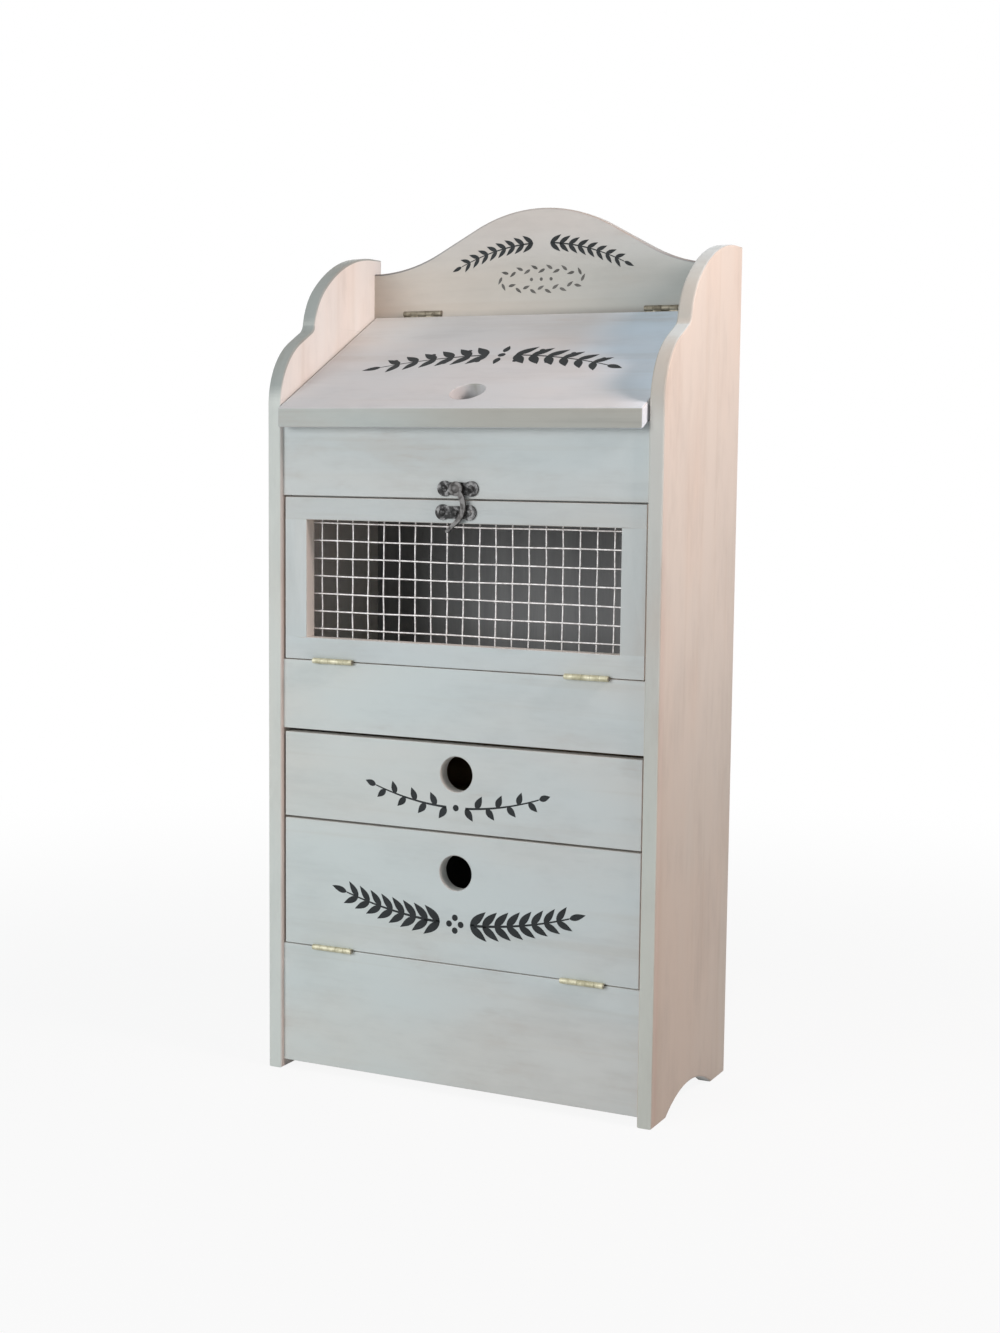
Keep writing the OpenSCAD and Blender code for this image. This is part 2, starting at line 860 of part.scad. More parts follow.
module drawer_back() {
    color(bare_wood)
        difference() {
            block([-half_front + drawer_side_t, drawer_back_y, drawer_ply_z1],
                  [half_front - drawer_side_t, drawer_y1, drawer_box_z1]);
            drawer_pin_rods();
        }
}

module drawer_bottom() {
    side_x = half_front - drawer_side_t + drawer_groove;
    color(plywood)
        block([-side_x, y_inner - drawer_groove, drawer_ply_z0], [side_x, drawer_y1, drawer_ply_z1]);
}

module drawer_pins() {
    color(steel)
        drawer_pin_rods();
}

// Butt hinges. A hinge is drawn with its pin along X through the origin and its closed leaves running
// back along +Y, one above the pin's plane and one below. "up" is 1 for the upper leaf, -1 for the lower.

module at_mesh_hinge(side) {
    translate([side * hinge_mid, mesh_axis[0], mesh_axis[1]])
        children();
}

module at_flap_hinge(side) {
    translate([side * hinge_mid, flap_axis[0], flap_axis[1]])
        children();
}

// On the lid the leaves hang down, with the upper one against the crest
module at_lid_hinge(side) {
    translate([side * hinge_mid, lid_axis[0], lid_axis[1]])
        rotate([-90, 0, 0])
            children();
}

// The recess that a leaf lies in
module leaf_recess(up) {
    z0 = up > 0 ? 0 : -leaf_gap / 2 - leaf_t;
    block([-hinge_len / 2 - leaf_fit, 0, z0],
          [hinge_len / 2 + leaf_fit, leaf_end + leaf_fit, z0 + leaf_gap / 2 + leaf_t]);
}

// The groove that takes the knuckles and the pin's heads where they stand in front of a flat face
module knuckle_groove() {
    half = hinge_len / 2 + pin_head_h + leaf_fit;
    rod_x(-half, half, knuckle_d + 2 * knuckle_gap);
}

// A knuckle's start and end along X
function knuckle_x(k) = -hinge_len / 2 + k * knuckle_len + (k == 0 ? 0 : knuckle_play / 2);
function knuckle_x_end(k) = -hinge_len / 2 + (k + 1) * knuckle_len - (k == knuckle_count - 1 ? 0 : knuckle_play / 2);

// A leaf with the knuckles first, first + 2 and so on
module hinge_leaf(up, first) {
    z0 = up > 0 ? leaf_gap / 2 : -leaf_gap / 2 - leaf_t;
    tab_y = pin_d / 2 + pin_play + leaf_t / 4;
    color(brass)
        difference() {
            union() {
                block([-hinge_len / 2, knuckle_r + knuckle_play, z0], [hinge_len / 2, leaf_end, z0 + leaf_t]);
                for (k = [first:2:knuckle_count - 1]) {
                    rod_x(knuckle_x(k), knuckle_x_end(k), knuckle_d);
                    block([knuckle_x(k), tab_y, z0], [knuckle_x_end(k), knuckle_r + 2 * knuckle_play, z0 + leaf_t]);
                }
            }
            rod_x(-hinge_len, hinge_len, pin_d + 2 * pin_play);
            leaf_screws(up);
        }
}

// The pin, with a low head peened over each end
pin_head_h = 0.5;
pin_head_d = 2.8;

module hinge_pin() {
    rod_x(-hinge_len / 2 - pin_head_h, hinge_len / 2 + pin_head_h, pin_d);
    for (side = [-1, 1])
        translate([side * (hinge_len / 2 + pin_head_h / 2), 0, 0])
            rod_x(-pin_head_h / 2, pin_head_h / 2, pin_head_d);
}

// A countersunk screw that points along +Z from the head's flat face at the origin
module countersunk_screw(d, length, head_h) {
    union() {
        cylinder(h = head_h, d1 = d + 2 * head_h, d2 = d);
        cylinder(h = length - d, d = d);
        translate([0, 0, length - d])
            cylinder(h = d, d1 = d, d2 = d / 4);
    }
}

module at_leaf_screws(up) {
    for (side = [-1, 1])
        translate([side * leaf_screw_x, leaf_screw_y, up * leaf_gap / 2])
            mirror([0, 0, up > 0 ? 0 : 1])
                children();
}

// The screws themselves, and the plain rods that bore their pilot holes
module leaf_screws(up) {
    at_leaf_screws(up)
        countersunk_screw(leaf_screw_d, leaf_screw_len, leaf_t);
}

module leaf_screw_rods(up) {
    at_leaf_screws(up)
        cylinder(h = leaf_screw_len, d = leaf_screw_d);
}

module crest_leaf_left() {
    at_lid_hinge(-1)
        hinge_leaf(1, 0);
}

module crest_leaf_right() {
    at_lid_hinge(1)
        hinge_leaf(1, 0);
}

module lid_leaf_left() {
    at_lid_hinge(-1)
        hinge_leaf(-1, 1);
}

module lid_leaf_right() {
    at_lid_hinge(1)
        hinge_leaf(-1, 1);
}

module lid_hinge_pins() {
    color(brass)
        for (side = [-1, 1])
            at_lid_hinge(side)
                hinge_pin();
}

module crest_leaf_screws() {
    color(brass)
        for (side = [-1, 1])
            at_lid_hinge(side)
                leaf_screws(1);
}

module lid_leaf_screws() {
    color(brass)
        for (side = [-1, 1])
            at_lid_hinge(side)
                leaf_screws(-1);
}

module middle_panel_leaf_left() {
    at_mesh_hinge(-1)
        hinge_leaf(-1, 0);
}

module middle_panel_leaf_right() {
    at_mesh_hinge(1)
        hinge_leaf(-1, 0);
}

module mesh_door_leaf_left() {
    at_mesh_hinge(-1)
        hinge_leaf(1, 1);
}

module mesh_door_leaf_right() {
    at_mesh_hinge(1)
        hinge_leaf(1, 1);
}

module mesh_door_hinge_pins() {
    color(brass)
        for (side = [-1, 1])
            at_mesh_hinge(side)
                hinge_pin();
}

module middle_panel_leaf_screws() {
    color(brass)
        for (side = [-1, 1])
            at_mesh_hinge(side)
                leaf_screws(-1);
}

module mesh_door_leaf_screws() {
    color(brass)
        for (side = [-1, 1])
            at_mesh_hinge(side)
                leaf_screws(1);
}

module lower_panel_leaf_left() {
    at_flap_hinge(-1)
        hinge_leaf(-1, 0);
}

module lower_panel_leaf_right() {
    at_flap_hinge(1)
        hinge_leaf(-1, 0);
}

module flap_leaf_left() {
    at_flap_hinge(-1)
        hinge_leaf(1, 1);
}

module flap_leaf_right() {
    at_flap_hinge(1)
        hinge_leaf(1, 1);
}

module flap_hinge_pins() {
    color(brass)
        for (side = [-1, 1])
            at_flap_hinge(side)
                hinge_pin();
}

module lower_panel_leaf_screws() {
    color(brass)
        for (side = [-1, 1])
            at_flap_hinge(side)
                leaf_screws(-1);
}

module flap_leaf_screws() {
    color(brass)
        for (side = [-1, 1])
            at_flap_hinge(side)
                leaf_screws(1);
}

// Swing latch

plate_screw_d = 2.4;
plate_screw_deep = 8;
screw_head_d = 5.2;
screw_head_h = 1.5;
screw_slot_w = 0.7;
screw_slot_turn = 35;
rivet_deep = 6;
rivet_head_d = 6;
rivet_head_h = 1.3;
boss_d = 8;

// A low dome standing forward, out of the face y = 0
module dome(d, h) {
    r = (pow(d / 2, 2) + pow(h, 2)) / (2 * h);
    intersection() {
        translate([0, r - h, 0])
            sphere(r = r);
        rod_y(-h, 0, d);
    }
}

// A latch plate centred on [0, 0] in X and Z, with round ends and a slightly narrower middle
module plate_outline() {
    for (side = [-1, 1])
        translate([side * lobe_x, 0])
            circle(d = plate_h);
    square([2 * lobe_x, plate_h - plate_waist], center = true);
}

module latch_plate_solid() {
    difference() {
        union() {
            run_y(y_face - plate_t, y_face)
                plate_outline();
            children();
        }
        plate_screw_rods();
    }
}

// Shanks of the two screws of a plate
module plate_screw_rods() {
    for (side = [-1, 1])
        translate([side * lobe_x, 0, 0])
            rod_y(y_face - plate_t, y_face + plate_screw_deep, plate_screw_d);
}

module plate_screws() {
    for (side = [-1, 1])
        difference() {
            translate([side * lobe_x, 0, 0])
                union() {
                    rod_y(y_face - plate_t, y_face + plate_screw_deep, plate_screw_d);
                    translate([0, y_face - plate_t, 0])
                        dome(screw_head_d, screw_head_h);
                }
            translate([side * lobe_x, y_face - plate_t - screw_head_h, 0])
                rotate([0, screw_slot_turn, 0])
                    cube([screw_head_d, screw_head_h, screw_slot_w], center = true);
        }
}

module rivet_rod() {
    rod_y(y_face - hook_back, y_face + rivet_deep, rivet_d);
}

module latch_plate() {
    color(bronze)
        translate([0, 0, latch_z])
            difference() {
                latch_plate_solid()
                    rod_y(y_face - plate_t - boss_h, y_face, boss_d);
                rivet_rod();
            }
}

module latch_plate_screws() {
    color(bronze)
        translate([0, 0, latch_z])
            plate_screws();
}

module latch_rivet() {
    head_y = y_face - hook_back - hook_t - hook_gap;
    color(bronze)
        translate([0, 0, latch_z])
            union() {
                rod_y(head_y, y_face + rivet_deep, rivet_d);
                translate([0, head_y, 0])
                    dome(rivet_head_d, rivet_head_h);
            }
}

// The hook's outline about its rivet: a round eye, an arm along a circle, and a straight tapering tail
tail_tip_d = 2;
tail_overlap = 0.5;

module hook_outline() {
    arm_half = hook_w / 2;
    tail_dir = [sin(hook_end), -cos(hook_end)];
    tail_side = [cos(hook_end), sin(hook_end)];
    tail_root = hook_centre + hook_r * tail_side;
    tail_start = tail_root - tail_overlap * tail_dir;
    tail_tip = tail_root + tail_len * tail_dir;
    far = 2 * hook_r;
    difference() {
        union() {
            circle(d = hook_eye_d);
            intersection() {
                translate(hook_centre)
                    difference() {
                        circle(r = hook_r + arm_half);
                        translate(-hook_taper * [cos(hook_start), sin(hook_start)])
                            circle(r = hook_r - arm_half);
                    }
                translate(hook_centre)
                    polygon([[0, 0],
                             far * [cos(hook_start), sin(hook_start)],
                             far * [cos(hook_start), sin(hook_start)] + [far, 0],
                             far * tail_side + [far, 0],
                             far * tail_side]);
            }
            polygon([tail_start + arm_half * tail_side, tail_start - arm_half * tail_side,
                     tail_tip - tail_tip_d / 2 * tail_side, tail_tip + tail_tip_d / 2 * tail_side]);
            translate(tail_tip)
                circle(d = tail_tip_d);
        }
        circle(d = rivet_d + 2 * rivet_play);
    }
}

module latch_hook() {
    color(bronze)
        translate([0, 0, latch_z])
            run_y(y_face - hook_back - hook_t, y_face - hook_back)
                hook_outline();
}

// The catch plate's post stands inside the closed hook's curve, and stops it from swinging across
post_head_d = 4.6;
post_head_h = 1;

module catch_plate() {
    post_top = y_face - hook_back - hook_t + post_head_h;
    color(bronze)
        translate([-catch_plate_left, 0, catch_z])
            latch_plate_solid()
                translate([post_x, 0, 0])
                    union() {
                        rod_y(post_top, y_face, post_d);
                        translate([0, post_top, 0])
                            dome(post_head_d, post_head_h);
                    }
}

module catch_plate_screws() {
    color(bronze)
        translate([-catch_plate_left, 0, catch_z])
            plate_screws();
}

side_panel_left();
side_panel_right();
crest_board();
back_panel();
bottom_board();
drawer_shelf();
bin_shelf();
lower_front_panel();
middle_front_panel();
upper_front_rail();
mesh_door_stop();
frame_dowels();
back_panel_pins();
flap_magnet();
lid_board();
mesh_door_top_rail();
mesh_door_bottom_rail();
mesh_door_left_stile();
mesh_door_right_stile();
wire_mesh();
mesh_staples();
flap_board();
flap_keeper_disc();
flap_keeper_screw();
drawer_front();
drawer_side_left();
drawer_side_right();
drawer_back();
drawer_bottom();
drawer_pins();
crest_leaf_left();
crest_leaf_right();
lid_leaf_left();
lid_leaf_right();
lid_hinge_pins();
crest_leaf_screws();
lid_leaf_screws();
middle_panel_leaf_left();
middle_panel_leaf_right();
mesh_door_leaf_left();
mesh_door_leaf_right();
mesh_door_hinge_pins();
middle_panel_leaf_screws();
mesh_door_leaf_screws();
lower_panel_leaf_left();
lower_panel_leaf_right();
flap_leaf_left();
flap_leaf_right();
flap_hinge_pins();
lower_panel_leaf_screws();
flap_leaf_screws();
latch_plate();
latch_rivet();
latch_plate_screws();
latch_hook();
catch_plate();
catch_plate_screws();
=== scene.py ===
# %% [markdown]
# # A painted wooden cabinet
# The real object is a tall narrow cabinet of thin wooden boards, painted a thin milky white, with a
# sloping lid, a mesh door, a drawer and a flap door. A packed CAD model already fixes every size and
# every joint, so this lesson only dresses it: it rounds the boards' sharp arrises, draws the wire and
# the printed sprigs in more detail, and gives every piece a procedural finish. Working on top of the
# CAD model keeps the picture and the working parts in one place.

# %% Load the cabinet
import json
import math
import random

import bmesh
import bpy
from mathutils import Matrix, Vector

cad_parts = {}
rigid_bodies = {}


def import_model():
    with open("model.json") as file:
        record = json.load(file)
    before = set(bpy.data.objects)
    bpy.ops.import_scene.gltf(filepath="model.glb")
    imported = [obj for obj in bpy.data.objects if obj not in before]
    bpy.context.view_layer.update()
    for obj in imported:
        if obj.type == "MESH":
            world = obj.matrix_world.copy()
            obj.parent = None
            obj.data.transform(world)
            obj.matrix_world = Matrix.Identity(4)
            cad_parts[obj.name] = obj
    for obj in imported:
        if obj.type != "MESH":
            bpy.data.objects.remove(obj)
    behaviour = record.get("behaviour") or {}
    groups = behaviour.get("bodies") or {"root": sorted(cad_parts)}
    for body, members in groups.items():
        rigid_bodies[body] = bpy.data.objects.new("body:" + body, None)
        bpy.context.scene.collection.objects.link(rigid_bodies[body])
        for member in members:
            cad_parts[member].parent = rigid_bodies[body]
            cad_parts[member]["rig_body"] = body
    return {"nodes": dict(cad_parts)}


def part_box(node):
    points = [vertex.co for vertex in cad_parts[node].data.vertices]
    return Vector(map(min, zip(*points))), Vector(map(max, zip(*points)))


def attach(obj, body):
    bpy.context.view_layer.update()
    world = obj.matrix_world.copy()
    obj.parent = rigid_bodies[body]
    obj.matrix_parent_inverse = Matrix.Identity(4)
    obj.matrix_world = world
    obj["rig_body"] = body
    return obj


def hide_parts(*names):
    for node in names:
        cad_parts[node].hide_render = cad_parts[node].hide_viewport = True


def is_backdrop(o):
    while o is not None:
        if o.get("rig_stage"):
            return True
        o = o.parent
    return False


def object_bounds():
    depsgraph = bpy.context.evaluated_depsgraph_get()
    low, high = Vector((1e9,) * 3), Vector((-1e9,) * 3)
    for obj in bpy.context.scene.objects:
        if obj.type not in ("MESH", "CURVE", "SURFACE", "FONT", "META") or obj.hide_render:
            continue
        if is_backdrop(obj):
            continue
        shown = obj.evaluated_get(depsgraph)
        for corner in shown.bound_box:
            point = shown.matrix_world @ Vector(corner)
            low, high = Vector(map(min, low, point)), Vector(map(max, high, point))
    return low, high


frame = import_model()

MM = 0.001
nodes = frame["nodes"]
cad_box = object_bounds()
print("CAD box in mm:", [[round(c / MM, 1) for c in corner] for corner in cad_box])

# %% [markdown]
# Blender's start-up file brings a cube, a lamp and a camera of its own. They would stand in the middle
# of the cabinet, so they go first. Everything else in the file came from the CAD model.

# %% Clear the start-up objects
for name in ("Cube", "Light", "Camera"):
    if name in bpy.data.objects:
        bpy.data.objects.remove(bpy.data.objects[name])
print("CAD pieces:", len(nodes))

# %% [markdown]
# ## Camera
# The camera stands where the photographer stood: to the right of the cabinet, a little above its
# middle, looking slightly down. The numbers come from solving the photograph's straight edges for one
# camera, so the picture can be laid over the photograph. A real lens is described by its focal length,
# and Blender takes the same number for a 36 mm long side. The Standard view keeps colours as written.

# %% Place the camera
EYE = Vector((625.6, -1284.7, 453.2)) * MM
TURN, TILT, ROLL = (math.radians(a) for a in (25.92, -6.09, 0.6))
LENS, LONG_SIDE, NEAREST = 53.5, 36, 0.05


def put(name, data):
    """A new object with its data, linked to the scene."""
    made = bpy.data.objects.new(name, data)
    bpy.context.scene.collection.objects.link(made)
    return made


ahead = Vector((-math.sin(TURN) * math.cos(TILT), math.cos(TURN) * math.cos(TILT), math.sin(TILT)))
level = Vector((math.cos(TURN), math.sin(TURN), 0))
above = level.cross(ahead)
right = level * math.cos(ROLL) + above * math.sin(ROLL)
up = above * math.cos(ROLL) - level * math.sin(ROLL)

camera = put("photo_camera", bpy.data.cameras.new("photo_camera"))
camera.matrix_world = Matrix((right, up, -ahead)).transposed().to_4x4()
camera.location = EYE
camera.data.sensor_width = LONG_SIDE
camera.data.lens = LENS
camera.data.clip_start = NEAREST
bpy.context.scene.camera = camera
bpy.context.scene.view_settings.view_transform = "Standard"
print("camera at", [round(c, 3) for c in EYE], "with a", LENS, "mm lens")

# %% [markdown]
# ## Shader sums
# A finish is a small sum over noise, coordinates and colours. Wiring each sum by hand hides what it
# says, so one class wraps a shader socket and lets Python's own operators add the Math nodes. The
# second class is the material's sheet of nodes, with one method that adds any other node.

# %% A socket that can do sums
class Wire:
    """One shader socket that + - * and ** can work on."""

    def __init__(self, sheet, socket):
        self.sheet, self.socket = sheet, socket

    def sum(self, operation, first, second):
        """One Math node, fed by sockets or numbers."""
        return self.sheet.add("ShaderNodeMath", {"operation": operation}, {0: first, 1: second})

    def __add__(self, other):
        return self.sum("ADD", self, other)

    def __radd__(self, other):
        return self.sum("ADD", other, self)

    def __sub__(self, other):
        return self.sum("SUBTRACT", self, other)

    def __rsub__(self, other):
        return self.sum("SUBTRACT", other, self)

    def __mul__(self, other):
        return self.sum("MULTIPLY", self, other)

    def __rmul__(self, other):
        return self.sum("MULTIPLY", other, self)

    def __pow__(self, other):
        return self.sum("POWER", self, other)

    def __rpow__(self, other):
        return self.sum("POWER", other, self)

    def __abs__(self):
        return self.sheet.add("ShaderNodeMath", {"operation": "ABSOLUTE"}, {0: self})

    def at_most(self, other):
        return self.sum("MINIMUM", self, other)

    def at_least(self, other):
        return self.sum("MAXIMUM", self, other)

    def ease(self, low, high):
        """0 below low, 1 above high, and a smooth step between them."""
        values = {"Value": self, "From Min": low, "From Max": high}
        return self.sheet.add("ShaderNodeMapRange", {"interpolation_type": "SMOOTHSTEP"}, values)


print("a Wire knows", [k for k in vars(Wire) if k.startswith("__r")])


# %% A material's sheet of nodes
def find_socket(sockets, key):
    """A socket by its number, its identifier or its name."""
    if isinstance(key, int):
        return sockets[key]
    return next(s for s in sockets if key == s.identifier or (key == s.name and s.enabled))


class Sheet:
    """A material or world, and the nodes that make it."""

    def __init__(self, name, owner=None):
        self.owner = owner or bpy.data.materials.new(name)
        self.owner.use_nodes = True
        self.tree = self.owner.node_tree
        self.tree.nodes.clear()

    def add(self, kind, settings=None, values=None, out=0):
        """Adds any node: its settings first, then the values or links of its sockets."""
        node = self.tree.nodes.new(kind)
        for key, value in (settings or {}).items():
            setattr(node, key, value)
        for key, value in (values or {}).items():
            socket = find_socket(node.inputs, key)
            if isinstance(value, Wire):
                self.tree.links.new(value.socket, socket)
            else:
                socket.default_value = value
        return Wire(self, find_socket(node.outputs, out))

    def finish_with(self, shader, kind="ShaderNodeOutputMaterial"):
        """Ends the sheet with its shader, and gives back the material or world."""
        end = self.tree.nodes.new(kind)
        self.tree.links.new(shader.socket, end.inputs["Surface"])
        return self.owner

    def mix(self, first, second, share, blend="MIX"):
        """Two colours mixed by share, 0 for the first and 1 for the second."""
        first, second = (c if isinstance(c, Wire) else (*c, 1) for c in (first, second))
        settings = {"data_type": "RGBA", "blend_type": blend}
        values = {"Factor_Float": share, "A_Color": first, "B_Color": second}
        return self.add("ShaderNodeMix", settings, values, "Result_Color")

    def place(self, stretch=(1, 1, 1)):
        """The point's own coordinates on its piece in metres, stretched for a texture."""
        spot = self.add("ShaderNodeTexCoord", out="Object")
        return self.add("ShaderNodeMapping", {}, {"Vector": spot, "Scale": stretch})

    def noise(self, scale, detail=2.0, stretch=(1, 1, 1), roughness=0.5, warp=0.0):
        """Cloudy noise, with about as many blots in a metre as scale says."""
        values = {"Vector": self.place(stretch), "Scale": scale, "Detail": detail,
                  "Roughness": roughness, "Distortion": warp}
        return self.add("ShaderNodeTexNoise", {}, values)

    def bump(self, height, depth):
        """A leaning of the surface, as if height from 0 to 1 were depth metres."""
        return self.add("ShaderNodeBump", {}, {"Distance": depth, "Height": height})

    def surfaced(self, **values):
        """Ends the sheet with the Principled shader. Low lines in names stand for spaces."""
        named = {key.replace("_", " "): value for key, value in values.items()}
        return self.finish_with(self.add("ShaderNodeBsdfPrincipled", {}, named))


print("a Sheet can", [k for k in vars(Sheet) if not k.startswith("_")])

# %% [markdown]
# ## Background and world
# The cabinet was photographed on white. A brighter world would make the background white too, but it
# would also pour that light on the cabinet and wash it out. So the world shows white only to the camera
# and to reflections, and keeps an ordinary pale level for everything else.

# %% The world
WORLD_LIGHT, WHITE = (0.25, 0.275, 0.29), (1.0, 1.0, 1.0)


def seen_rays(sheet):
    """1 for what the camera, a reflection or clear glass sees, and 0 for the light on the object."""
    rays = [sheet.add("ShaderNodeLightPath", out=name)
            for name in ("Is Camera Ray", "Is Glossy Ray", "Is Transmission Ray")]
    return rays[0].at_least(rays[1]).at_least(rays[2])


sky = Sheet("studio", bpy.data.worlds.new("studio"))
bpy.context.scene.world = sky.owner
sky_colour = sky.mix(WORLD_LIGHT, WHITE, seen_rays(sky))
sky.finish_with(sky.add("ShaderNodeBackground", {}, {"Color": sky_colour}), "ShaderNodeOutputWorld")
print("world:", sky.owner.name)

# %% [markdown]
# ## Lamps
# The photograph has no hard shadows. A wide window lamp stands low at the front left, so that the lid's
# nose throws only a faint shadow on the rail below it. A small warm lamp stands high and close to the
# right side, because that side fades from pale pink at the top to a dull tan at the foot. A third lamp
# far behind only serves whoever looks at the back. Lamps can be set by eye, but here each one was first
# rendered alone on a grey cabinet, and the pictures were mixed until the fronts, the lid and the side
# had the photograph's levels.

# %% The lamps
def lamp(name, place, aim, size, watts, colour):
    """A square area lamp that looks at a point."""
    light = bpy.data.lights.new(name, "AREA")
    light.energy, light.size, light.color = watts, size, colour
    stand = put(name, light)
    stand.location = place
    stand.rotation_mode = "QUATERNION"
    stand.rotation_quaternion = (Vector(aim) - Vector(place)).to_track_quat("-Z", "Y")
    return stand


MIDDLE, SIDE_TOP = (0, 0, 0.33), (0.15, 0.0, 0.55)
lamps = [
    lamp("window_left", (-0.72, -1.68, 0.70), MIDDLE, size=1.0, watts=16.9, colour=(0.975, 0.985, 1.0)),
    lamp("warm_right", (0.75, -0.12, 0.88), SIDE_TOP, size=0.25, watts=6.2, colour=(1.0, 0.84, 0.80)),
    lamp("soft_behind", (-1.5, 2.2, 0.9), MIDDLE, size=1.6, watts=26, colour=(1.0, 0.98, 0.96)),
]
print("lamps:", [(o.name, round(o.data.energy)) for o in lamps])

# %% [markdown]
# ## Floor
# The feet need a floor that takes a soft shadow and still runs out into white. A plain glowing floor
# would lose the shadow, so matt paper is mixed with a white glow that only the camera and reflections
# see, and the glow's share grows with the distance from the cabinet.

# %% The floor
FLOOR_RADIUS, FLOOR_SIDES = 6.0, 64
MATT_WHITE, GLOW_NEAR, GLOW_FADE = (0.60, 0.60, 0.60, 1), 0.90, (0.35, 1.3)


def disc(name, radius, sides):
    """A flat round plate on the ground."""
    mesh = bpy.data.meshes.new(name)
    rim = [(radius * math.cos(a), radius * math.sin(a), 0)
           for a in (2 * math.pi * k / sides for k in range(sides))]
    mesh.from_pydata(rim, [], [list(range(sides))])
    return put(name, mesh)


floor = disc("studio_floor", FLOOR_RADIUS, FLOOR_SIDES)
paper = Sheet("studio_paper")
reach = paper.add("ShaderNodeVectorMath", {"operation": "LENGTH"}, {0: paper.place()}, "Value")
matt = paper.add("ShaderNodeBsdfDiffuse", {}, {"Color": MATT_WHITE})
glow = paper.add("ShaderNodeEmission", {}, {"Color": (*WHITE, 1)})
white_share = seen_rays(paper) * (GLOW_NEAR + (1 - GLOW_NEAR) * reach.ease(*GLOW_FADE))
paper_mix = paper.add("ShaderNodeMixShader", {}, {0: white_share, 1: matt, 2: glow})
floor.data.materials.append(paper.finish_with(paper_mix))
floor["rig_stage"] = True
print("floor radius in m:", FLOOR_RADIUS)

# %% [markdown]
# ## Paint on wood
# The cabinet is painted with a thin milky white that leaves the boards' grain and the brush's strokes
# just visible, and the rounded arrises are rubbed to a warm tan. One recipe serves every painted board.
# It needs to know which way the grain runs, because brush and grain follow it, and which way the
# board's broad face looks: the arris is where the surface leans between that face and the board's edge,
# so the surface's own direction tells it apart without any painting by hand. The same direction makes
# the side panels warm on their broad faces and as cool as the fronts on their edges.

# %% Directions and sizes of marks
GRAIN_X, GRAIN_Y, GRAIN_Z = (0.03, 1, 1), (1, 0.03, 1), (1, 1, 0.03)
FACE_X, FACE_Y, FRONT, UP = (1, 0, 0), (0, 1, 0), (0, -1, 0), (0, 0, 1)
LID_SLOPE = math.radians(27.2)
FACE_LID = (0, -math.sin(LID_SLOPE), math.cos(LID_SLOPE))
CLOUDS, SMUDGES, PATCHES, STREAKS, STROKES, FIBRES = 9, 22, 34, 75, 210, 900
PAINT_RELIEF = 0.07 * MM
print("paint marks in a metre:", (CLOUDS, SMUDGES, PATCHES, STREAKS, STROKES, FIBRES))


# %% Where a surface looks and where it lies
def toward(sheet, direction):
    """1 where the surface looks along a direction, 0 where across it, -1 where against it."""
    normal = sheet.add("ShaderNodeTexCoord", out="Normal")
    values = {0: normal, 1: direction}
    return sheet.add("ShaderNodeVectorMath", {"operation": "DOT_PRODUCT"}, values, "Value")


def facing(sheet, direction):
    """1 where the surface looks along a direction or against it."""
    return abs(toward(sheet, direction))


def arris_of(sheet, broad, others=()):
    """1 half way round an arris, 0 on the board's faces and edges."""
    lean = facing(sheet, broad)
    flat = lean.at_least((1 - lean * lean).at_least(0) ** 0.5)
    for direction in others:
        flat = flat.at_least(facing(sheet, direction))
    return 1 - flat.ease(0.78, 0.97)


def coordinate(sheet, axis):
    """The point's place on the X, Y or Z axis, in metres."""
    return sheet.add("ShaderNodeSeparateXYZ", {}, {0: sheet.place()}, axis)


def along(sheet, axis, low, high):
    """0 below one place on an axis and 1 above another."""
    return coordinate(sheet, axis).ease(low, high)


print("the lid slopes by", round(math.degrees(LID_SLOPE), 1), "degrees")

# %% The paint recipe
TAN, BARE = (0.40, 0.28, 0.20), (0.50, 0.43, 0.37)
MILKY, THIN = (0.975, 1.01, 1.025), (1.015, 0.975, 0.95)
GREYED, STREAKED = (0.955, 0.955, 0.955), (0.965, 0.95, 0.935)


def painted_wood(name, grain, broad, white, others=(), edge=None, rub=0.5, parts=()):
    """Milky paint on a board. Each of parts is a colour and a function from the sheet to its share."""
    sheet = Sheet("milky_paint_" + name)
    soft, brushed = (tuple(max(g, least) for g in grain) for least in (0.35, 0.09))
    cloud = sheet.noise(CLOUDS, 3, soft, roughness=0.6).ease(0.34, 0.66)
    patches = sheet.noise(PATCHES, 4, soft, roughness=0.65)
    strokes = sheet.noise(STROKES, 4, brushed, roughness=0.7)
    streaks = sheet.noise(STREAKS, 3, grain, roughness=0.55, warp=0.5)
    fibres = sheet.noise(FIBRES, 2, grain, warp=0.4)
    smudge = (0.5 * sheet.noise(SMUDGES, 3, soft, roughness=0.6) + 0.5 * patches).ease(0.55, 0.68)
    dry = strokes.ease(0.50, 0.68) * smudge
    worn = (arris_of(sheet, broad, others) * (0.30 + 1.1 * patches)).ease(0.50, 1.0) * rub

    ground = sheet.mix(edge, white, facing(sheet, broad).ease(0.35, 0.85)) if edge else white
    for colour, share in parts:
        ground = sheet.mix(ground, colour, share(sheet))
    coat = sheet.mix(ground, sheet.mix(MILKY, THIN, cloud), 1.0, "MULTIPLY")
    for tint, share in ((GREYED, patches.ease(0.40, 0.66)),
                        (GREYED, strokes.ease(0.35, 0.75) * patches.ease(0.40, 0.60)),
                        (STREAKED, streaks.ease(0.54, 0.70))):
        coat = sheet.mix(coat, tint, share, "MULTIPLY")
    coat = sheet.mix(coat, BARE, 0.22 * (smudge + dry))
    coat = sheet.mix(coat, TAN, worn)

    relief = 0.5 * strokes + 0.2 * fibres - 0.5 * dry
    rough = 0.46 + 0.16 * strokes + 0.15 * worn
    normal = sheet.bump(relief, PAINT_RELIEF)
    return sheet.surfaced(Base_Color=coat, Roughness=rough, Normal=normal, Specular_IOR_Level=0.35)


print("tints:", MILKY, THIN, GREYED, STREAKED)

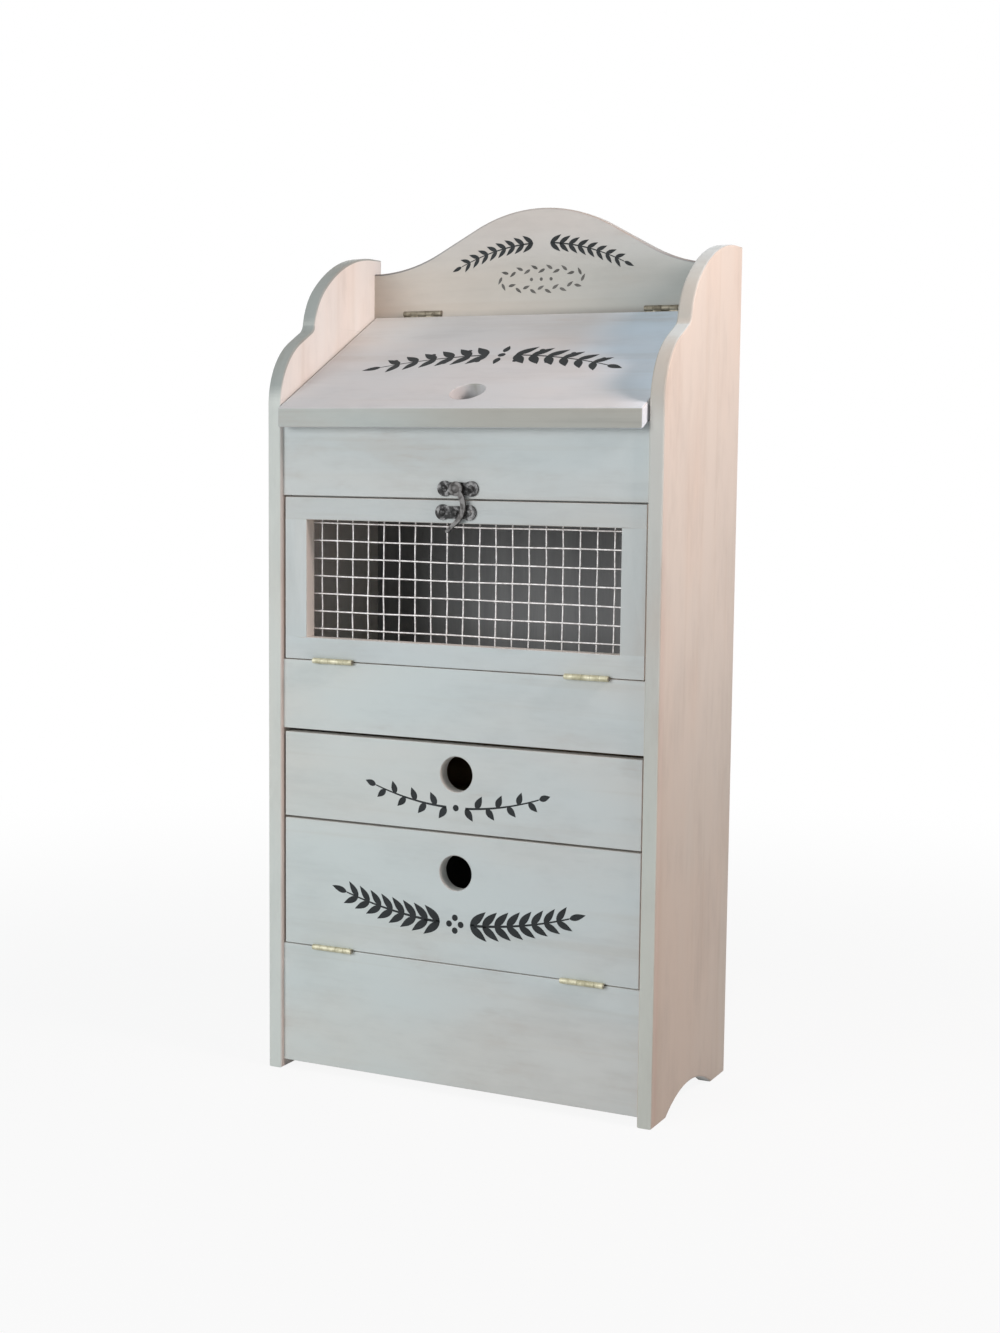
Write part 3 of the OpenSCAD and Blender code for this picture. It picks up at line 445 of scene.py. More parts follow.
# %% [markdown]
# ## Zones of a board
# The photograph's light is uneven in a way that soft lamps can't repeat: the crest goes from cream to
# grey along its length, the lid's right end has the blue of the sky, and the right side is duller low
# down. Small lamps could be aimed at each of these places, but they would spoil the levels beside it.
# So a little of that light is held in the paint, with wide soft borders that pass for an uneven coat.
# A zone says where a colour lies: it fades along an axis between two places, and it may be kept to the
# surfaces that look one way.

# %% Zones
def looking(direction, low, high):
    """A function that gives 1 where a surface looks along a direction."""
    return lambda sheet: toward(sheet, direction).ease(low, high)


def zone(*spans, look=None, strength=1.0):
    """A share for painted_wood. Each span is an axis, where the colour is none and where it is full."""
    def share(sheet):
        masks = [look(sheet)] if look else []
        for axis, none, full in spans:
            rise = along(sheet, axis, min(none, full), max(none, full))
            masks.append(rise if none < full else 1 - rise)
        mask = math.prod(masks[1:], start=masks[0])
        return mask if strength == 1.0 else mask * strength
    return share


to_front = looking(FRONT, 0.4, 0.9)


def nose_face(sheet):
    """The lid's plumb-cut front edge."""
    return facing(sheet, FACE_Y).ease(0.85, 0.98)


def broad_side(sheet):
    """A side panel's two large faces."""
    return facing(sheet, FACE_X).ease(0.8, 0.95)


def nose_dirt(sheet):
    """Grey specks on the lid's nose, where hands lift it."""
    return nose_face(sheet) * sheet.noise(160, 3, GRAIN_X).ease(0.55, 0.75) * 0.25


def sky_patch(sheet):
    """The lid's right end, wider toward the back."""
    slant = coordinate(sheet, "X") + 0.9 * coordinate(sheet, "Y").at_most(0.005)
    return slant.ease(0.045, 0.10)


def crest_foot_shade(sheet):
    """Painted shade: a dull line along the crest's foot above the lid, stronger toward the right."""
    line = 1 - along(sheet, "Z", 0.558, 0.563)
    return line * (0.2 + 0.4 * along(sheet, "X", -0.06, 0.08)) * to_front(sheet)


def front_margin(sheet):
    """A rubbed strip down the front of a side panel's broad face, strongest low down."""
    strip = (1 - along(sheet, "Y", -0.066, -0.058)) * broad_side(sheet)
    wear = sheet.noise(30, 3, GRAIN_Z).ease(0.2, 0.6) * 0.65
    return strip * (1 - along(sheet, "Z", 0.30, 0.55)) * wear


print("zones of their own:", [f.__name__ for f in (nose_dirt, sky_patch, crest_foot_shade, front_margin)])

# %% [markdown]
# ## The fronts, the crest and the lid
# All three wear the same milky white. The fronts are cool, and painted light makes them a little paler
# at the lower left. The crest goes from the cream of painted warm light to the grey of painted shade and
# is dark on its arched edge. The lid is the palest, with a greener nose, painted shade toward its back
# and painted warm light at its far left end. A picture of the paint could hold all this, but colours
# laid in zones stay sharp at any zoom and can be read and changed one by one.

# %% Paint for the fronts, the crest and the lid
# The pale cool colour at the fronts' lower left is painted light.
COOL_WHITE, EDGE, LIT_LOWER_LEFT = (0.615, 0.65, 0.64), (0.72, 0.70, 0.66), (0.65, 0.687, 0.663)
front_paint = painted_wood("front", GRAIN_X, FACE_Y, COOL_WHITE, edge=EDGE, rub=0.2, parts=[
    (LIT_LOWER_LEFT, zone(("X", 0.12, -0.14), ("Z", 0.40, 0.30), look=to_front))])

# The crest's cream is painted warm light, and its grey toward the right end is painted shade.
CREST_WARM_LIGHT, CREST_SHADE, CREST_TOP = (0.61, 0.545, 0.475), (0.40, 0.415, 0.39), (0.60, 0.595, 0.575)
ARCH_GREY, SHADE_AND_DIRT_GREY = (0.17, 0.18, 0.19), (0.22, 0.205, 0.18)
crest_paint = painted_wood("crest", GRAIN_X, FACE_Y, CREST_WARM_LIGHT, parts=[
    (CREST_SHADE, zone(("X", -0.12, 0.14), look=to_front)),
    (ARCH_GREY, zone(look=looking(UP, 0.05, 0.25), strength=0.9)),
    (CREST_TOP, zone(("Z", 0.582, 0.622), strength=0.8)),
    # The dull line along the crest's foot is painted shade.
    (SHADE_AND_DIRT_GREY, crest_foot_shade)])

LID_WHITE, LID_BACK_SHADE, LID_LEFT_WARM_LIGHT = (0.625, 0.632, 0.64), (0.575, 0.57, 0.565), (0.76, 0.74, 0.715)
SKY_WHITE, NOSE, OLIVE = (0.79, 0.88, 0.97), (0.50, 0.535, 0.51), (0.43, 0.42, 0.375)
lid_paint = painted_wood("lid", GRAIN_X, FACE_LID, LID_WHITE, others=(FACE_Y, FACE_X), parts=[
    # The grey toward the lid's back, by the crest, is painted shade.
    (LID_BACK_SHADE, zone(("X", 0.08, 0.03), ("Y", -0.02, 0.04))),
    (SKY_WHITE, sky_patch),
    # The pale colour at the lid's far left end is painted warm light.
    (LID_LEFT_WARM_LIGHT, zone(("X", -0.06, -0.14), ("Y", -0.01, 0.04))),
    (NOSE, nose_face),
    (OLIVE, zone(("X", -0.10, 0.03), look=nose_face)),
    (SHADE_AND_DIRT_GREY, nose_dirt)])
print("paints:", [m.name for m in (front_paint, crest_paint, lid_paint)])

# %% [markdown]
# ## The side panels
# The panels' broad faces are pinker than the fronts, and their narrow front edges are as cool as the
# fronts and creamier toward the top. Low down, painted shade makes the right panel's broad face darker.
# The inside of the left panel's shoulder is the palest place of all, with painted warm light, and its
# curved upper edge is grey with painted shade where it looks up. One paint for each panel is plainer
# than one shared paint with a switch in it.

# %% Paint for the side panels
WARM_WHITE, LOW_SIDE_SHADE, RUBBED_PINK = (0.66, 0.575, 0.50), (0.59, 0.515, 0.443), (0.56, 0.41, 0.35)
MARGIN_LOW, MARGIN_CREAM, MARGIN_TOP = (0.578, 0.617, 0.576), (0.60, 0.585, 0.54), (0.52, 0.48, 0.425)
right_paint = painted_wood("right", GRAIN_Z, FACE_X, WARM_WHITE, edge=COOL_WHITE, rub=0.3, parts=[
    (MARGIN_LOW, to_front),
    (MARGIN_CREAM, zone(("Z", 0.20, 0.36), look=to_front)),
    (MARGIN_TOP, zone(("Z", 0.47, 0.50), look=to_front)),
    # The darker pink low on the broad face is painted shade.
    (LOW_SIDE_SHADE, zone(("Z", 0.36, 0.18), look=broad_side)),
    (RUBBED_PINK, front_margin)])

PALE_MARGIN, INNER_FACE_LIGHT, UPWARD_EDGE_SHADE = (0.67, 0.685, 0.638), (0.84, 0.79, 0.745), (0.36, 0.385, 0.365)
left_paint = painted_wood("left", GRAIN_Z, FACE_X, WARM_WHITE, edge=COOL_WHITE, rub=0.25, parts=[
    (PALE_MARGIN, to_front),
    # The palest pink, on the inner face, is painted warm light.
    (INNER_FACE_LIGHT, looking(FACE_X, 0.5, 0.9)),
    # The grey on surfaces that look up is painted shade.
    (UPWARD_EDGE_SHADE, looking(UP, 0.02, 0.30)),
    (RUBBED_PINK, front_margin)])
print("paints:", [m.name for m in (right_paint, left_paint)])

# %% [markdown]
# ## Bare wood and plywood
# Inside, the shelves and the drawer box are unpainted softwood, and the back is thin plywood. Growth
# rings show as long drawn-out stripes, so a wave texture stretched along the grain and bent by noise
# gives them. Peeled plywood shows less of them than sawn boards. Through the mesh the back looks a dull
# grey, so its inside face is made grey, and the same recipe does that by the way the surface looks.

# %% The bare wood recipe
SOFTWOOD, BIRCH = ((0.52, 0.38, 0.23), (0.36, 0.23, 0.12)), ((0.58, 0.49, 0.36), (0.48, 0.38, 0.26))
INSIDE_GREY = ((0.30, 0.302, 0.302), (0.23, 0.232, 0.234))
PLY_GRAIN, WOOD_RELIEF = (1, 1, 0.05), 0.1 * MM


def bare_wood(name, grain, tones, rings, figure=0.30, grey_toward=None):
    """Growth rings, bent bands and pores. Tones are the early and the late wood's colours."""
    sheet = Sheet(name)
    bend = sheet.noise(9, 5, grain)
    waves = sheet.add("ShaderNodeTexWave", {"wave_type": "BANDS", "bands_direction": "DIAGONAL"}, {
        "Vector": sheet.place(grain), "Scale": rings, "Distortion": 9.0,
        "Detail": 3.0, "Detail Scale": 0.8})
    pores = sheet.noise(1100, 2, grain)
    tone = (figure * waves + (0.75 - figure) * bend + 0.25 * pores).ease(0.25, 0.75)
    colour = sheet.mix(*tones, tone)
    if grey_toward:
        grey_face = sheet.mix(*INSIDE_GREY, tone)
        colour = sheet.mix(colour, grey_face, toward(sheet, grey_toward).ease(0.2, 0.6))
    normal = sheet.bump(0.5 * tone + 0.5 * pores, WOOD_RELIEF)
    return sheet.surfaced(Base_Color=colour, Roughness=0.55 + 0.2 * pores, Normal=normal)


shelf_wood = bare_wood("bare_softwood", GRAIN_X, SOFTWOOD, 26)
drawer_wood = bare_wood("bare_softwood_drawer", GRAIN_Y, SOFTWOOD, 26)
ply = bare_wood("birch_plywood", PLY_GRAIN, BIRCH, 20, figure=0.2)
back_ply = bare_wood("birch_plywood_back", PLY_GRAIN, BIRCH, 20, figure=0.2, grey_toward=FRONT)
print("bare woods:", [m.name for m in (shelf_wood, drawer_wood, ply, back_ply)])

# %% [markdown]
# ## Metals
# The front hinges are pale brass, and those behind the lid are a darker brass. The latch is cast metal with
# a dark antique finish that is worn lighter where it is touched, and the mesh is zinc-coated wire. All
# of them share one recipe: a metallic surface whose colour, roughness and fine relief come from two
# sizes of noise.

# %% The metal recipe
def metal(name, bright, dull, rough, blots, share=(0.35, 0.65), relief=0.03 * MM, metallic=1.0):
    """Metal with blots of a duller colour, and grit nine times finer than the blots."""
    sheet = Sheet(name)
    patches = sheet.noise(blots, 3, roughness=0.6).ease(*share)
    grit = sheet.noise(blots * 9, 2)
    return sheet.surfaced(
        Base_Color=sheet.mix(bright, dull, patches), Metallic=metallic,
        Roughness=rough + 0.15 * patches + 0.1 * grit, Normal=sheet.bump(grit + 0.5 * patches, relief))


hinge_brass = metal("pale_brass", (0.62, 0.60, 0.45), (0.44, 0.42, 0.29), 0.50, blots=180, metallic=0.6)
dark_brass = metal("dark_brass", (0.29, 0.265, 0.205), (0.16, 0.14, 0.10), 0.50, blots=180, metallic=0.6)
pin_steel = metal("hinge_pin_steel", (0.45, 0.42, 0.36), (0.25, 0.22, 0.18), 0.35, blots=300)
latch_bronze = metal("antique_bronze", (0.15, 0.15, 0.15), (0.03, 0.03, 0.03), 0.42, blots=240,
                     share=(0.34, 0.58), relief=0.06 * MM, metallic=0.85)
worn_bronze = metal("worn_antique_bronze", (0.125, 0.122, 0.12), (0.045, 0.042, 0.04), 0.45, blots=240,
                    share=(0.40, 0.68), relief=0.04 * MM, metallic=0.8)
zinc = metal("zinc_wire", (0.80, 0.78, 0.77), (0.62, 0.60, 0.59), 0.45, blots=260, metallic=0.6)
nickel = metal("nickel_magnet", (0.75, 0.75, 0.74), (0.62, 0.62, 0.60), 0.2, blots=200)
print("metals:", [m.name for m in (
    hinge_brass, dark_brass, pin_steel, latch_bronze, worn_bronze, zinc, nickel)])

# %% [markdown]
# ## Dressing the CAD pieces
# Every CAD piece that stays in view gets its finish by name. The material slots belong to the object's
# mesh data, so swapping the material leaves the CAD shape as it is. Pieces with a finish of their own
# stand in a table, and the rest share a finish with all whose names begin or end alike.

# %% Dress the CAD pieces
FINISHES = {
    "lid_board": lid_paint, "crest_board": crest_paint,
    "side_panel_left": left_paint, "side_panel_right": right_paint,
    "drawer_side_left": drawer_wood, "drawer_side_right": drawer_wood,
    "back_panel": back_ply, "drawer_bottom": ply, "flap_magnet": nickel,
    "latch_hook": worn_bronze, "latch_rivet": worn_bronze,
    "bin_shelf": shelf_wood, "drawer_shelf": shelf_wood, "bottom_board": shelf_wood,
    "drawer_back": shelf_wood, "frame_dowels": shelf_wood,
}


def finish_for(name):
    """The finish of a CAD piece. Staples, pins and screws that no line names are zinc-coated."""
    if name in FINISHES:
        return FINISHES[name]
    if name.endswith("hinge_pins"):
        return pin_steel
    if "_leaf_" in name:
        return dark_brass if name.startswith(("lid", "crest")) else hinge_brass
    if name.startswith(("latch", "catch")):
        return latch_bronze
    if name.endswith(("panel", "rail", "stile", "board", "front", "door_stop")):
        return front_paint
    return zinc


def dress(piece, material):
    """Gives a piece one material."""
    piece.data.materials.clear()
    piece.data.materials.append(material)


for name, piece in nodes.items():
    dress(piece, finish_for(name))
print("finishes in use:", len({p.data.materials[0].name for p in nodes.values()}))

# %% [markdown]
# ## Rounded arrises
# A board straight from CAD has knife-sharp arrises, and nothing shows that a picture is computer-made
# sooner. The real boards are sanded round by about a millimetre. Bevelling the CAD mesh itself would
# choke on its small bores and hinge recesses, so each board is cut instead: a plain rounded block of
# the board's outline is made first, and the exact copy of the board is intersected with it. The block
# takes the arrises off, and every bore and recess stays where it was.

# %% A rounded block from an outline
ROUND, SIDE_ROUND, LID_ROUND, CREST_ROUND = 0.6 * MM, 1.5 * MM, 1.4 * MM, 1.8 * MM
FOLD = math.radians(30)


def mesh_from(bm, name):
    """Turns a mesh in the making into mesh data."""
    mesh = bpy.data.meshes.new(name)
    bm.to_mesh(mesh)
    bm.free()
    return mesh


def folds(bm):
    """The edges where a mesh turns a corner."""
    return [e for e in bm.edges if e.calc_face_angle(0) > FOLD]


def joined(bm, rings):
    """Adds the four-cornered faces between rings of points."""
    count = len(rings[0])
    for near, far in zip(rings, rings[1:]):
        for k in range(count):
            m = (k + 1) % count
            bm.faces.new((near[k], near[m], far[m], far[k]))


def round_edges(bm, edges, radius):
    """Replaces edges by an arc of four strips."""
    bmesh.ops.bevel(bm, geom=edges, offset=radius, segments=4, profile=0.5, affect="EDGES",
                    clamp_overlap=False)


def lifted(point, axis, level):
    """A point of a plane outline, set at a level along the axis across that plane."""
    return (*point[:axis], level, *point[axis:])


def rounded_block(outline, axis, low, high, radius, all_edges):
    """A closed mesh from a loop of points in the plane across an axis, with its rims rounded."""
    bm = bmesh.new()
    ends = [[bm.verts.new(lifted(point, axis, level)) for point in outline] for level in (low, high)]
    caps = [bm.faces.new(ring) for ring in ends]
    joined(bm, ends)
    bmesh.ops.recalc_face_normals(bm, faces=bm.faces)
    round_edges(bm, folds(bm) if all_edges else [e for cap in caps for e in cap.edges], radius)
    bmesh.ops.recalc_face_normals(bm, faces=bm.faces)
    return mesh_from(bm, "rounded_block")


print("arris radii in mm:", [round(r / MM, 1) for r in (ROUND, SIDE_ROUND, LID_ROUND, CREST_ROUND)])

# %% [markdown]
# ## Cutting a board
# The cut is a Boolean modifier with the exact solver, which is slower than the fast one but copes with
# faces that lie on each other, and here every broad face of the board lies on its block. The CAD mesh
# is a heap of thin triangles, so its copy is welded and its flat faces are merged first. Weighted
# normals then let the large flat faces win over the narrow arcs, or the boards would look pillowy.

# %% Cut a board with its rounded block
WELD, FLAT, SHARP = 0.001 * MM, math.radians(0.2), math.radians(40)


def solid_copy(name):
    """A new object with the welded mesh of a CAD node."""
    bm = bmesh.new()
    bm.from_mesh(nodes[name].data)
    bmesh.ops.remove_doubles(bm, verts=bm.verts, dist=WELD)
    bmesh.ops.dissolve_limit(bm, angle_limit=FLAT, verts=bm.verts, edges=bm.edges)
    bmesh.ops.triangulate(bm, faces=bm.faces)
    return put(name, mesh_from(bm, name))


def settle(made):
    """Applies the object's modifiers, so that its own mesh is the finished one."""
    seen = made.evaluated_get(bpy.context.evaluated_depsgraph_get())
    mesh = bpy.data.meshes.new_from_object(seen)
    made.modifiers.clear()
    made.data = mesh


def smooth(made):
    """Smooth shading that keeps flat faces flat: the large faces decide the direction at a border."""
    for face in made.data.polygons:
        face.use_smooth = True
    made.data.set_sharp_from_angle(angle=SHARP)
    made.modifiers.new("even_faces", "WEIGHTED_NORMAL").keep_sharp = True
    settle(made)


def eased_board(name, block, material):
    """A board's exact copy with rounded arrises, which takes the CAD node's place."""
    board = solid_copy(name)
    cutter = put("cutter", block)
    cut = board.modifiers.new("rounding", "BOOLEAN")
    cut.operation, cut.solver, cut.object = "INTERSECT", "EXACT", cutter
    settle(board)
    bpy.data.objects.remove(cutter)
    smooth(board)
    board.name = "eased_" + name
    dress(board, material)
    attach(board, nodes[name]["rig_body"])
    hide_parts(name)
    print(board.name, len(board.data.polygons), "faces")


print("folds stay sharp from", round(math.degrees(SHARP)), "degrees")

# %% [markdown]
# ## The flat fronts
# Three fronts are fixed between the side panels, and two more belong to the drawer and the flap. All
# five are plain boards, so the block of each is its own box. The fixed ones end inside the side panels'
# grip, where an arris would leave a groove, so their blocks run past both ends and leave those square.

# %% Ease the flat fronts
PAST_ENDS = 5 * MM


def box_block(name, grow=0.0):
    """The rounded box of a board, longer at both ends by grow."""
    low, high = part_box(name)
    left, right = low.x - grow, high.x + grow
    outline = [(left, low.z), (right, low.z), (right, high.z), (left, high.z)]
    return rounded_block(outline, 1, low.y, high.y, ROUND, True)


for name in ("lower_front_panel", "middle_front_panel", "upper_front_rail"):
    eased_board(name, box_block(name, PAST_ENDS), front_paint)
for name in ("drawer_front", "flap_board"):
    eased_board(name, box_block(name), front_paint)

# %% [markdown]
# ## Boards with an outline of their own
# The side panels have stepped shoulders and an arched foot, the lid has a plumb-cut nose, and the crest
# ends in an arch. These curves could be drawn again from their radii, but each outline is read back
# from the CAD mesh instead: it is the loop of corners that one broad face of the board shows. So the
# rounded block follows the true curve and nothing is measured twice.

# %% Read an outline from a CAD mesh
SAME_LEVEL, STRAIGHT = 0.01 * MM, 1e-9


def outline_on(name, axis, level):
    """The corner points of a board at one level along an axis, in order round its edge."""
    bm = bmesh.new()
    bm.from_mesh(nodes[name].data)
    bmesh.ops.remove_doubles(bm, verts=bm.verts, dist=WELD)
    flat = [f for f in bm.faces if all(abs(v.co[axis] - level) < SAME_LEVEL for v in f.verts)]
    border = [e for e in bm.edges if sum(g in flat for g in e.link_faces) == 1]
    onward = {}
    for e in border:
        for a, b in (e.verts, reversed(e.verts)):
            onward.setdefault(a, []).append(b)
    loops = []
    while onward:
        at, before = next(iter(onward)), None
        loop = []
        while at in onward:
            loop.append(at)
            choices = [v for v in onward.pop(at) if v is not before]
            before, at = at, choices[0]
        loops.append(loop)
    longest = max(loops, key=lambda ring: sum((a.co - b.co).length for a, b in zip(ring, ring[1:])))
    others = [k for k in range(3) if k != axis]
    points = [tuple(v.co[k] for k in others) for v in longest]
    bm.free()
    return straighten(points)


def straighten(points):
    """Drops the points in the middle of straight runs."""
    kept = []
    for k, here in enumerate(points):
        (x0, y0), (x1, y1), (x2, y2) = points[k - 1], here, points[(k + 1) % len(points)]
        if abs((x1 - x0) * (y2 - y1) - (y1 - y0) * (x2 - x1)) > STRAIGHT:
            kept.append(here)
    return kept


side_outline = outline_on("side_panel_right", 0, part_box("side_panel_right")[1].x)
print("side panel outline:", len(side_outline), "points")

# %% [markdown]
# ## Side panels
# Both panels are cut from the same pattern, so one outline serves both blocks. Only the rims of the two
# broad faces are rounded: rounding the pattern's corners too would change the steps of the shoulder.

# %% Ease the side panels
for name in ("side_panel_left", "side_panel_right"):
    low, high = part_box(name)
    block = rounded_block(side_outline, 0, low.x, high.x, SIDE_ROUND, False)
    eased_board(name, block, finish_for(name))

# %% [markdown]
# ## Lid
# The lid slopes, and its nose is cut plumb and its back edge fits the crest, so its outline is drawn in
# side view and the block runs from end to end. All its edges are rounded, because hands lift it by
# every one of them.

# %% Ease the lid
low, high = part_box("lid_board")
lid_outline = outline_on("lid_board", 0, high.x)
lid_block = rounded_block(lid_outline, 0, low.x, high.x, LID_ROUND, True)
eased_board("lid_board", lid_block, lid_paint)
print("lid outline in mm:", [[round(c / MM, 1) for c in p] for p in lid_outline])

# %% [markdown]
# ## Crest
# The crest's ends are held by the side panels, so its block runs past them like those of the fronts.
# Only the arch is read from the CAD mesh. Its arris is the widest on the cabinet and catches a dark
# line in the photograph.

# %% Ease the crest
ARCH_FROM = 0.58
low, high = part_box("crest_board")
crest_curve = sorted(p for p in outline_on("crest_board", 1, high.y) if p[1] > ARCH_FROM)
(_, left_top), *arch, (_, right_top) = crest_curve
left_end, right_end = low.x - PAST_ENDS, high.x + PAST_ENDS
crest_outline = [(left_end, low.z), (left_end, left_top), *arch,
                 (right_end, right_top), (right_end, low.z)]
crest_block = rounded_block(crest_outline, 1, low.y, high.y, CREST_ROUND, False)
eased_board("crest_board", crest_block, crest_paint)
print("crest curve:", len(crest_curve), "points")

# %% [markdown]
# ## The mesh door's frame
# The door is four sticks, two rails and two stiles, glued and sanded until they read as one frame. Each
# stick could be rounded by its own box, but that would leave a groove at every joint. So all four are
# cut with one block in the shape of the whole frame: its outer and inner edges are rounded, and the
# joints stay flush. The rails' grain runs across and the stiles' up, so they need two paints.

# %% Paint for the sticks
# The pale colour on the sticks' edges, seen on the opening's reveals, is painted light.
LIT_REVEAL_EDGE, STILE_SHADE, RAIL_SHADE = (0.88, 0.80, 0.73), (0.59, 0.60, 0.58), (0.575, 0.608, 0.60)
stile_paint = painted_wood("stile", GRAIN_Z, FACE_Y, COOL_WHITE, edge=LIT_REVEAL_EDGE, rub=0.2, parts=[
    # The grey toward the right of the stiles is painted shade.
    (STILE_SHADE, zone(("X", -0.10, 0.12), look=to_front))])
rail_paint = painted_wood("stick", GRAIN_X, FACE_Y, COOL_WHITE, edge=LIT_REVEAL_EDGE, rub=0.2, parts=[
    # The grey toward the top of the rails is painted shade.
    (RAIL_SHADE, zone(("Z", 0.34, 0.40), look=to_front))])
print("paints:", stile_paint.name, rail_paint.name)

# %% Ease the frame
DOOR_STICKS = ["mesh_door_" + part for part in ("top_rail", "bottom_rail", "left_stile", "right_stile")]
door_low = Vector([min(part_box(n)[0][k] for n in DOOR_STICKS) for k in range(3)])
door_high = Vector([max(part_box(n)[1][k] for n in DOOR_STICKS) for k in range(3)])
outside = ((door_low.x, door_low.z), (door_high.x, door_high.z))
opening = ((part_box("mesh_door_left_stile")[1].x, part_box("mesh_door_bottom_rail")[1].z),
           (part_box("mesh_door_right_stile")[0].x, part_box("mesh_door_top_rail")[0].z))


def frame_block():
    """The door's frame as one rounded ring, outside and inside."""
    bm = bmesh.new()
    rings = []
    for level in (door_low.y, door_high.y):
        for (x0, z0), (x1, z1) in (outside, opening):
            corners = ((x0, z0), (x1, z0), (x1, z1), (x0, z1))
            rings.append([bm.verts.new((x, level, z)) for x, z in corners])
    outer_front, inner_front, outer_back, inner_back = rings
    for k in range(4):
        m = (k + 1) % 4
        for a, b in ((outer_front, inner_front), (inner_front, inner_back), (inner_back, outer_back),
                     (outer_back, outer_front)):
            bm.faces.new((a[k], a[m], b[m], b[k]))
    bmesh.ops.recalc_face_normals(bm, faces=bm.faces)
    round_edges(bm, folds(bm), ROUND)
    return mesh_from(bm, "frame_block")


for name in DOOR_STICKS:
    paint = stile_paint if name.endswith("stile") else rail_paint
    eased_board(name, frame_block(), paint)

# %% [markdown]
# ## The wire mesh
# Welded mesh is made by laying one row of zinc-coated wires over another and pressing each crossing
# with an electric current, which leaves a small flattened bead of metal there. The wires come off a
# roll, so none of them is quite straight. The CAD node holds the same wires as plain eight-sided bars,
# and this piece takes its place with round, slightly swaying wires and a bead on every crossing.

# %% Draw a round bar and a bead
WIRE_R, WIRE_SIDES, BEAD_SIDES, BEAD_BANDS = 0.6 * MM, 10, 8, 5


def tube(bm, path):
    """Adds a closed round wire along a path that is nearly straight."""
    heading = (path[-1] - path[0]).normalized()
    first = heading.orthogonal().normalized()
    second = heading.cross(first)
    turns = [2 * math.pi * k / WIRE_SIDES for k in range(WIRE_SIDES)]
    rings = [[bm.verts.new(point + WIRE_R * (math.cos(a) * first + math.sin(a) * second)) for a in turns]
             for point in path]
    joined(bm, rings)
    bm.faces.new(rings[0][::-1])
    bm.faces.new(rings[-1])


def bead(bm, centre, size):
    """Adds a small flattened ball, with its poles up and down."""
    def point(band, side):
        tilt, turn = math.pi * band / BEAD_BANDS, 2 * math.pi * side / BEAD_SIDES
        ball = (math.sin(tilt) * math.cos(turn), math.sin(tilt) * math.sin(turn), math.cos(tilt))
        return bm.verts.new([c + s * b for c, s, b in zip(centre, size, ball)])

    top, foot = point(0, 0), point(BEAD_BANDS, 0)
    rings = [[point(band, side) for side in range(BEAD_SIDES)] for band in range(1, BEAD_BANDS)]
    joined(bm, rings)
    for k in range(BEAD_SIDES):
        m = (k + 1) % BEAD_SIDES
        bm.faces.new((top, rings[0][k], rings[0][m]))
        bm.faces.new((foot, rings[-1][m], rings[-1][k]))


def finished(name, bm, material, body, replaced=None):
    """Turns a mesh in the making into a piece of the cabinet."""
    bmesh.ops.recalc_face_normals(bm, faces=bm.faces)
    made = put(name, mesh_from(bm, name))
    dress(made, material)
    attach(made, body)
    if replaced:
        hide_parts(replaced)
    return made


print("wire thickness in mm:", 2 * WIRE_R / MM)

# %% [markdown]
# ## Laying the wires
# The uprights stand behind and the cross wires in front, half an inch apart both ways, and each
# crossing gets its bead. Copies of one wire would be quicker, but they would all sway alike, so every
# wire gets a sway of its own. The random numbers start from a fixed seed, and so every run bends the
# wires the same way.

# %% Lay the wires
PITCH, FIRST_UPRIGHT, FIRST_ROW = 12.7 * MM, -129 * MM, 314.3 * MM
UPRIGHTS, ROWS, SEED = 21, 8, 7
UPRIGHT_SWAY, ROW_SWAY = (24, 0.28 * MM, 0.08 * MM), (48, 0.30 * MM, 0.06 * MM)
BEAD_SPREAD, BEAD_HEIGHT, BEAD_BACK = (0.85, 1.1), 0.75 * MM, 0.25 * MM
chance = random.Random(SEED)
mesh_low, mesh_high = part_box("wire_mesh")
uprights = [FIRST_UPRIGHT + PITCH * k for k in range(UPRIGHTS)]
rows = [FIRST_ROW + PITCH * k for k in range(ROWS)]
row_y, upright_y = mesh_low.y + WIRE_R, mesh_high.y - WIRE_R


def swayed(start, end, steps, sway, depth):
    """Points from start to end that swing a little sideways and in depth."""
    side = Vector((0, 0, 1)) if abs(end.x - start.x) > abs(end.z - start.z) else Vector((1, 0, 0))
    a, b, c = (chance.uniform(0, 2 * math.pi) for _ in range(3))
    points = []
    for k in range(steps + 1):
        t = k / steps
        swing = 0.6 * math.sin(7 * t + a) + 0.4 * math.sin(17 * t + b)
        back = Vector((0, depth * math.sin(11 * t + c), 0))
        points.append(start.lerp(end, t) + side * sway * swing + back)
    return points


wires = bmesh.new()
for x in uprights:
    foot, head = (Vector((x, upright_y, z)) for z in (mesh_low.z, mesh_high.z))
    tube(wires, swayed(foot, head, *UPRIGHT_SWAY))
for z in rows:
    left, right = (Vector((x, row_y, z)) for x in (mesh_low.x, mesh_high.x))
    tube(wires, swayed(left, right, *ROW_SWAY))
for x in uprights:
    for z in rows:
        spread = chance.uniform(*BEAD_SPREAD) * MM
        bead(wires, (x, row_y + BEAD_BACK, z), (spread, BEAD_HEIGHT, spread))
wire_body = nodes["wire_mesh"]["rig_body"]
wire_piece = finished("welded_wire_mesh", wires, zinc, wire_body, "wire_mesh")
for face in wire_piece.data.polygons:
    face.use_smooth = True
print("wires:", len(uprights), "up and", len(rows), "across,", len(uprights) * len(rows), "beads")

# %% [markdown]
# ## Printed garlands
# The boards carry a dark charcoal print. Here it is a plain leaf garland, drawn new for this lesson: a
# thin stem along a bow, with leaves and berries on both sides, in a different pattern on every board.
# Real ones are stencilled or screen printed, so the ink has crisp outlines and next to no thickness.
# Each shape is a flat loop of points on the board's face, raised by the thickness of a coat of ink. A
# texture could draw it too, but real outlines stay crisp at any zoom and follow the moving boards.

